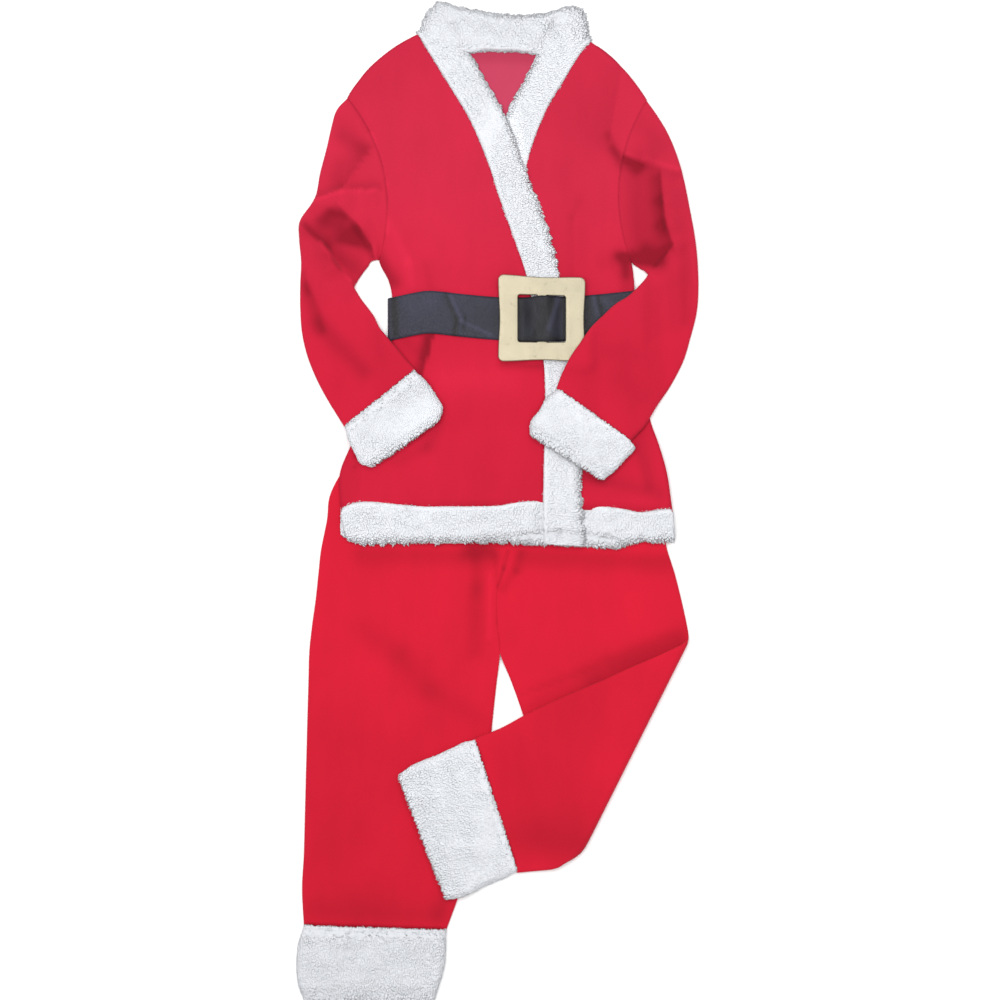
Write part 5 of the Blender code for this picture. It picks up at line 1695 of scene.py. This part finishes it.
def add_fur_cuff(name, seed):
    """One fur cuff, combed towards its open end."""
    grid = laid_suit()[name]
    rows = len(grid) // 2
    outside = unit(np.gradient(grid[:rows], axis=0) * (1, 1, 0))
    share = np.linspace(0, 1, rows)
    outside = outside * (combed(share, CUFF_COMB_TURN) * flared(share))[:, None, None]
    comb = np.concatenate([outside, outside[::-1]])
    pile = np.full(grid.shape[:2], LINING_PILE)
    heights = grid[:rows, :, 2]
    middle = (heights.max(axis=1) + heights.min(axis=1))[:, None] / 2
    pile[:rows] = np.where(heights >= middle - CUFF_PILE_DEPTH, 1.0, THIN_PILE)
    mesh = mesh_of(name, grid, looped=True, comb=comb, pile=pile)
    add_fur(name, mesh, seed)


def add_tube(name, material):
    """Flattened tube of fleece with its wall inside."""
    piece = add_piece(name + "_cloth", mesh_of(name, laid_suit()[name]), material, name)
    add_wall(piece, FLEECE, -1.0)
    return piece


def add_panel(name, material):
    """Single layer of fleece over its underside's places."""
    mesh = mesh_of(name, laid_suit()[name], flat=True)
    piece = add_piece(name + "_cloth", mesh, material, name)
    add_wall(piece, FLEECE, 1.0)


def under_hem_cover(grid):
    """Density of the under hem's pile: full where it shows, thin under the top band."""
    shows = (grid[..., 0] > BAND_LEFT[-1][2] - COVER_MARGIN) | (grid[..., 1] < HEM_SHOWS_BELOW)
    return np.where(shows, 1.0, THIN_PILE)


def under_band_cover(grid):
    """Density of the under band's pile: none where it is hidden under the wrap."""
    return np.where(grid[..., 1] > HIDDEN_BELOW - BAND_COVER_MARGIN, 1.0, 0.0)


def turn_shin_over(piece):
    """Fold a flat leg: cut its mesh along the fold, then move its points."""
    flatten(piece)
    shape = bmesh.new()
    shape.from_mesh(piece.data)
    start, _, across = fold_frame()
    for step in range(FOLD_STEPS + 1):
        place = start + across * (2 * FOLD_HEIGHT * step / FOLD_STEPS)
        bmesh.ops.bisect_plane(shape, geom=shape.verts[:] + shape.edges[:] + shape.faces[:], dist=WELD,
                               plane_co=(Vector((*place, 0)) + Vector(BOARD_SHIFT)) * MM,
                               plane_no=Vector((*across, 0)))
    points = np.array([vert.co[:] for vert in shape.verts]) / MM - BOARD_SHIFT
    folded = fold_over(points)
    near = np.exp(-np.sum((folded[:, :2] - FOLD_CORNER) ** 2, axis=1) / CORNER_REACH ** 2)
    folded[:, :2] += near[:, None] * CORNER_PULL
    turned = ease(((points[:, :2] - start) @ across - 2 * FOLD_HEIGHT) / SHIN_FADE)
    under = Ground().with_layers(laid_suit()["leg_left"], thigh_under_shin())
    support = under.draped(SHIN_DRAPE, SHIN_DRAPE).at(folded[:, 0], folded[:, 1])
    folded[:, 2] += turned * np.clip(support - LEG_HEIGHT, -SHIN_SAG, SHIN_LIFT)
    for vert, place in zip(shape.verts, folded):
        vert.co = (Vector(place) + Vector(BOARD_SHIFT)) * MM
    shape.to_mesh(piece.data)
    shape.free()
    piece.data.shade_smooth()


def thigh_under_shin():
    """The folded leg's points that stay on the table, gathered on the near side of its fold."""
    grid = laid_suit()["leg_right"]
    start, _, across = fold_frame()
    beyond = np.maximum(0, (grid[..., :2] - start) @ across)
    kept = grid.copy()
    kept[..., :2] -= beyond[..., None] * across
    return kept


def frame_corner(x, y, radius, steps):
    """Arc at one corner of a rectangle, anticlockwise round the rectangle's middle."""
    first = math.floor(math.atan2(y, x) / (math.pi / 2)) * math.pi / 2
    angles = [first + math.pi / 2 * step / steps for step in range(steps + 1)]
    middle_x = x - math.copysign(radius, x)
    middle_y = y - math.copysign(radius, y)
    return [(middle_x + radius * math.cos(angle), middle_y + radius * math.sin(angle))
            for angle in angles]


def frame_side(corner_x, corner_y, reach, waist, straight):
    """Points down one pulled-in side of the frame, after one of its corners."""
    points = []
    for share in np.linspace(SIDE_SHARE, -SIDE_SHARE, SIDE_POINTS):
        along = share * straight
        out = reach - waist * math.cos(share * math.pi / 2) ** 2
        points.append((corner_x * along, corner_y * out) if corner_x == corner_y
                      else (corner_x * out, corner_y * along))
    return points


def frame_outline(reach, waist, radius):
    """A square with round corners and sides that pull in a little."""
    points = []
    for x, y in SQUARE:
        points += frame_corner(x * reach, y * reach, radius, FRAME_ARC)
        points += frame_side(x, y, reach, waist, reach - radius)
    return points


def window_outline(side):
    """One of the two openings beside the centre bar."""
    half = (WINDOW_HALF - BAR_HALF) / 2
    middle = side * (WINDOW_HALF + BAR_HALF) / 2
    corners = []
    for x, y in SQUARE:
        corners += frame_corner(x * half, y * WINDOW_HALF, WINDOW_CORNER, WINDOW_ARC)
    return [(middle + x, y) for x, y in corners]


def buckle_blank(bevel):
    """Mesh of the buckle about its own middle, as pressed: a filled outline with its edges rounded."""
    outline = bpy.data.curves.new("buckle outline", "CURVE")
    outline.dimensions = "2D"
    outline.fill_mode = "BOTH"
    outline.bevel_depth = bevel
    outline.bevel_resolution = 3
    outline.offset = -bevel
    outline.extrude = BUCKLE_THICK / 2 * MM - bevel
    for points in (frame_outline(BUCKLE_HALF, BUCKLE_WAIST, BUCKLE_CORNER), window_outline(-1),
                   window_outline(1)):
        spline = outline.splines.new("POLY")
        spline.points.add(len(points) - 1)
        for point, (x, y) in zip(spline.points, points):
            point.co = (x * MM, y * MM, 0, 1)
        spline.use_cyclic_u = True
    guide = bpy.data.objects.new("buckle outline", outline)
    bpy.context.scene.collection.objects.link(guide)
    graph = bpy.context.evaluated_depsgraph_get()
    mesh = bpy.data.meshes.new_from_object(guide.evaluated_get(graph))
    bpy.data.objects.remove(guide)
    return mesh


def set_buckle(mesh):
    """Divide the buckle's long edges, skew it a little and move it to its place on the belt."""
    shape = bmesh.new()
    shape.from_mesh(mesh)
    bmesh.ops.remove_doubles(shape, verts=shape.verts, dist=WELD)
    long_edges = [edge for edge in shape.edges if edge.calc_length() > LONG_EDGE]
    bmesh.ops.subdivide_edges(shape, edges=long_edges, cuts=LONG_EDGE_CUTS, use_grid_fill=True)
    bmesh.ops.triangulate(shape, faces=shape.faces)
    middle = np.array((*BUCKLE_CENTRE, laid_suit()["buckle_rest"] + BUCKLE_THICK / 2)) + BOARD_SHIFT
    for vert in shape.verts:
        x, y = vert.co.x / MM / BUCKLE_HALF, vert.co.y / MM / BUCKLE_HALF
        vert.co.y -= BUCKLE_SKEW * MM * (0.5 + x / 2) * (0.5 + y / 2)
        vert.co += Vector(middle) * MM
    shape.to_mesh(mesh)
    shape.free()
    mesh.materials.clear()
    mesh.shade_smooth()
    mesh.set_sharp_from_angle(angle=math.radians(SHARP_ANGLE))


def lay_floor(colour):
    """Paper under the suit."""
    mesh = bpy.data.meshes.new("floor")
    corners = [(x * FLOOR_REACH, y * FLOOR_REACH, FLOOR_Z) for x, y in SQUARE]
    mesh.from_pydata(corners, [], [(0, 1, 2, 3)])
    floor = bpy.data.objects.new("floor", mesh)
    bpy.context.scene.collection.objects.link(floor)
    material, sheet, surface = new_finish("floor paper")
    paper = sheet.noise(sheet.place(), 3.0, 2.0)
    surface(Base_Color=sheet.blend(paper, tinted(colour, 0.995), tinted(colour, 1.0)),
            Roughness=0.9, Specular_IOR_Level=0.1)
    mesh.materials.append(material)
    return floor


def light_studio(fill, key):
    """Light from all round, and the soft lights above."""
    scene = bpy.context.scene
    world = bpy.data.worlds.new("studio") if scene.world is None else scene.world
    scene.world = world
    world.use_nodes = True
    background = world.node_tree.nodes["Background"]
    background.inputs["Color"].default_value = (1.0, 1.0, 1.0, 1.0)
    background.inputs["Strength"].default_value = fill
    for name, place, size, share in KEY_LIGHTS:
        lamp = bpy.data.lights.new(name, "AREA")
        lamp.shape = "DISK"
        lamp.size = size
        lamp.energy = key * share
        light = bpy.data.objects.new(name, lamp)
        light.location = place
        light.rotation_euler = (-Vector(place)).to_track_quat("-Z", "Y").to_euler()
        scene.collection.objects.link(light)


def hang_camera(lens, frame_width):
    """Camera straight above the suit, at the distance that fills its frame."""
    scene = bpy.context.scene
    camera = bpy.data.cameras.new("camera above")
    camera.lens = lens
    distance = frame_width / 2 / (camera.sensor_width / 2 / camera.lens)
    camera.clip_start, camera.clip_end = 0.1, 50.0
    above = bpy.data.objects.new("camera above", camera)
    above.location = (*FRAME_MIDDLE, distance + CLOTH_LEVEL)
    scene.collection.objects.link(above)
    scene.camera = above
    scene.view_settings.view_transform = "Standard"
    scene.view_settings.look = "None"


class ClothSettings(bpy.types.PropertyGroup):
    """Colours and surface of the fleece."""

    jacket: FloatVectorProperty(name="Jacket", description="Colour of the jacket's fleece",
                                subtype="COLOR", size=3, default=(0.475, 0.0155, 0.0445))
    inside: FloatVectorProperty(name="Wrong side", description="Colour of the fleece's unbrushed side",
                                subtype="COLOR", size=3, default=(0.455, 0.044, 0.091))
    trousers: FloatVectorProperty(name="Trousers", description="Colour of the trousers' fleece",
                                  subtype="COLOR", size=3, default=(0.53, 0.0145, 0.039))
    nap: FloatProperty(name="Nap", description="How strongly the brushed fibres stand out", default=0.5,
                       min=0.0, max=2.0, subtype="FACTOR")


class FurSettings(bpy.types.PropertyGroup):
    """Colour and pile of the fur trim."""

    colour: FloatVectorProperty(name="Fur", description="Colour of the fur", subtype="COLOR", size=3,
                                default=(0.702, 0.718, 0.751))
    spacing: FloatProperty(name="Spacing", description="Distance between locks of fur",
                           default=0.00145, min=0.001, unit="LENGTH")
    length: FloatProperty(name="Length", description="Length of a lock of fur", default=0.0029,
                          min=0.001, unit="LENGTH")
    width: FloatProperty(name="Width", description="Width of a lock of fur", default=0.0021,
                         min=0.0002, unit="LENGTH")
    lean: FloatProperty(name="Lean", description="How far the pile is combed over", default=2.4)
    tousle: FloatProperty(name="Tousle", description="How untidy the pile is", default=0.12)


class BeltSettings(bpy.types.PropertyGroup):
    """Colours and edges of the belt and its buckle."""

    vinyl: FloatVectorProperty(name="Vinyl", description="Colour of the belt", subtype="COLOR", size=3,
                               default=(0.0171, 0.0171, 0.034))
    gold: FloatVectorProperty(name="Gold", description="Colour of the buckle", subtype="COLOR", size=3,
                              default=(0.308, 0.273, 0.190))
    bevel: FloatProperty(name="Bevel", description="Rounding of the buckle's edges", default=0.0011,
                         min=0.0, unit="LENGTH")


class StageSettings(bpy.types.PropertyGroup):
    """Floor, light and camera."""

    floor: FloatVectorProperty(name="Floor", description="Colour of the floor", subtype="COLOR", size=3,
                               default=(0.93, 0.93, 0.93))
    lens: FloatProperty(name="Lens", description="Focal length of the camera in mm", default=85.0,
                        min=20.0)
    frame_width: FloatProperty(name="Frame width", description="Width of what the camera sees",
                               default=1.1, unit="LENGTH")
    fill: FloatProperty(name="Fill", description="Strength of the light from all round", default=0.56)
    key: FloatProperty(name="Key", description="Power of the large soft light", default=46.0,
                       unit="POWER")


class SUIT_OT_trousers(bpy.types.Operator):
    """Fleece trousers with the right shin turned over, and their fur cuffs"""

    bl_idname = "suit.trousers"
    bl_label = "Trousers"

    def execute(self, context):
        colour = tuple(context.scene.suit_cloth.trousers)
        finish = fleece("trouser fleece", colour)
        add_tube("leg_left", finish)
        turn_shin_over(add_tube("leg_right", finish))
        add_fur_cuff("leg_cuff_left", 101)
        add_fur_cuff("leg_cuff_right", 102)
        return {"FINISHED"}


class SUIT_OT_jacket(bpy.types.Operator):
    """Back, under front and top front of the jacket"""

    bl_idname = "suit.jacket"
    bl_label = "Jacket panels"

    def execute(self, context):
        cloth = context.scene.suit_cloth
        finish = fleece("jacket fleece", tuple(cloth.jacket))
        lining = fleece("jacket back fleece", tuple(cloth.jacket), tuple(cloth.inside))
        add_panel("jacket_back", lining)
        add_panel("jacket_front_right", finish)
        add_panel("jacket_front_left", finish)
        return {"FINISHED"}


class SUIT_OT_fur_bands(bpy.types.Operator):
    """Fur bands down the fronts, round the neck and along the hem"""

    bl_idname = "suit.fur_bands"
    bl_label = "Fur bands"

    def execute(self, context):
        add_fur_strip("hem_back", 111)
        add_fur_strip("hem_right", 112, under_hem_cover)
        add_fur_strip("band_right", 113, under_band_cover)
        add_fur_strip("hem_left", 114)
        add_fur_strip("band_left", 115, loose_below=2.0)
        add_fur_strip("collar_back", 116)
        return {"FINISHED"}


class SUIT_OT_belt(bpy.types.Operator):
    """Vinyl belt round the jacket"""

    bl_idname = "suit.belt"
    bl_label = "Belt"

    def execute(self, context):
        mesh = mesh_of("belt", laid_suit()["belt"], closed=True)
        piece = add_piece("belt_vinyl", mesh, belt_vinyl("belt vinyl"), "belt")
        add_wall(piece, BELT_THICK, 1.0)
        return {"FINISHED"}


class SUIT_OT_buckle(bpy.types.Operator):
    """Square slide buckle, pressed from sheet metal and plated"""

    bl_idname = "suit.buckle"
    bl_label = "Buckle"

    def execute(self, context):
        mesh = buckle_blank(context.scene.suit_belt.bevel)
        set_buckle(mesh)
        add_piece("buckle_metal", mesh, satin_gold("satin gold"), "buckle")
        return {"FINISHED"}


class SUIT_OT_sleeves(bpy.types.Operator):
    """Fleece sleeves and their fur cuffs"""

    bl_idname = "suit.sleeves"
    bl_label = "Sleeves"

    def execute(self, context):
        finish = fleece("jacket fleece", tuple(context.scene.suit_cloth.jacket))
        add_tube("sleeve_left", finish)
        add_tube("sleeve_right", finish)
        add_fur_cuff("cuff_left", 121)
        add_fur_cuff("cuff_right", 122)
        return {"FINISHED"}


class SUIT_OT_stage(bpy.types.Operator):
    """Pale floor, soft studio light and the camera above the suit"""

    bl_idname = "suit.stage"
    bl_label = "Stage"

    def execute(self, context):
        stage = context.scene.suit_stage
        floor = lay_floor(stage.floor)
        light_studio(stage.fill, stage.key)
        hang_camera(stage.lens, stage.frame_width)
        return {"FINISHED"}


class SUIT_PT_panel(bpy.types.Panel):
    """The suit's pieces and their settings"""

    bl_idname = "SUIT_PT_panel"
    bl_label = "Santa Suit"
    bl_space_type = "VIEW_3D"
    bl_region_type = "UI"
    bl_category = "Santa Suit"

    def draw(self, context):
        for title, group, operators in PANEL_ROWS:
            box = self.layout.box()
            box.label(text=title)
            settings = getattr(context.scene, group)
            for name in settings.__annotations__:
                box.prop(settings, name)
            for operator in operators:
                box.operator(operator)


SETTINGS = {"suit_cloth": ClothSettings, "suit_fur": FurSettings, "suit_belt": BeltSettings,
            "suit_stage": StageSettings}
STEPS = (SUIT_OT_trousers, SUIT_OT_jacket, SUIT_OT_fur_bands, SUIT_OT_belt, SUIT_OT_buckle,
         SUIT_OT_sleeves, SUIT_OT_stage)
PANEL_ROWS = (("Fleece", "suit_cloth", ("suit.trousers", "suit.jacket", "suit.sleeves")),
              ("Fur", "suit_fur", ("suit.fur_bands",)),
              ("Belt", "suit_belt", ("suit.belt", "suit.buckle")),
              ("Stage", "suit_stage", ("suit.stage",)))


def register():
    for item in (*SETTINGS.values(), *STEPS, SUIT_PT_panel):
        bpy.utils.register_class(item)
    for name, item in SETTINGS.items():
        setattr(bpy.types.Scene, name, PointerProperty(type=item))


def unregister():
    for name in SETTINGS:
        delattr(bpy.types.Scene, name)
    for item in (SUIT_PT_panel, *reversed(STEPS), *SETTINGS.values()):
        bpy.utils.unregister_class(item)


def main():
    register()
    for step in STEPS:
        space, name = step.bl_idname.split(".")
        getattr(getattr(bpy.ops, space), name)()


if __name__ == "__main__":
    main()
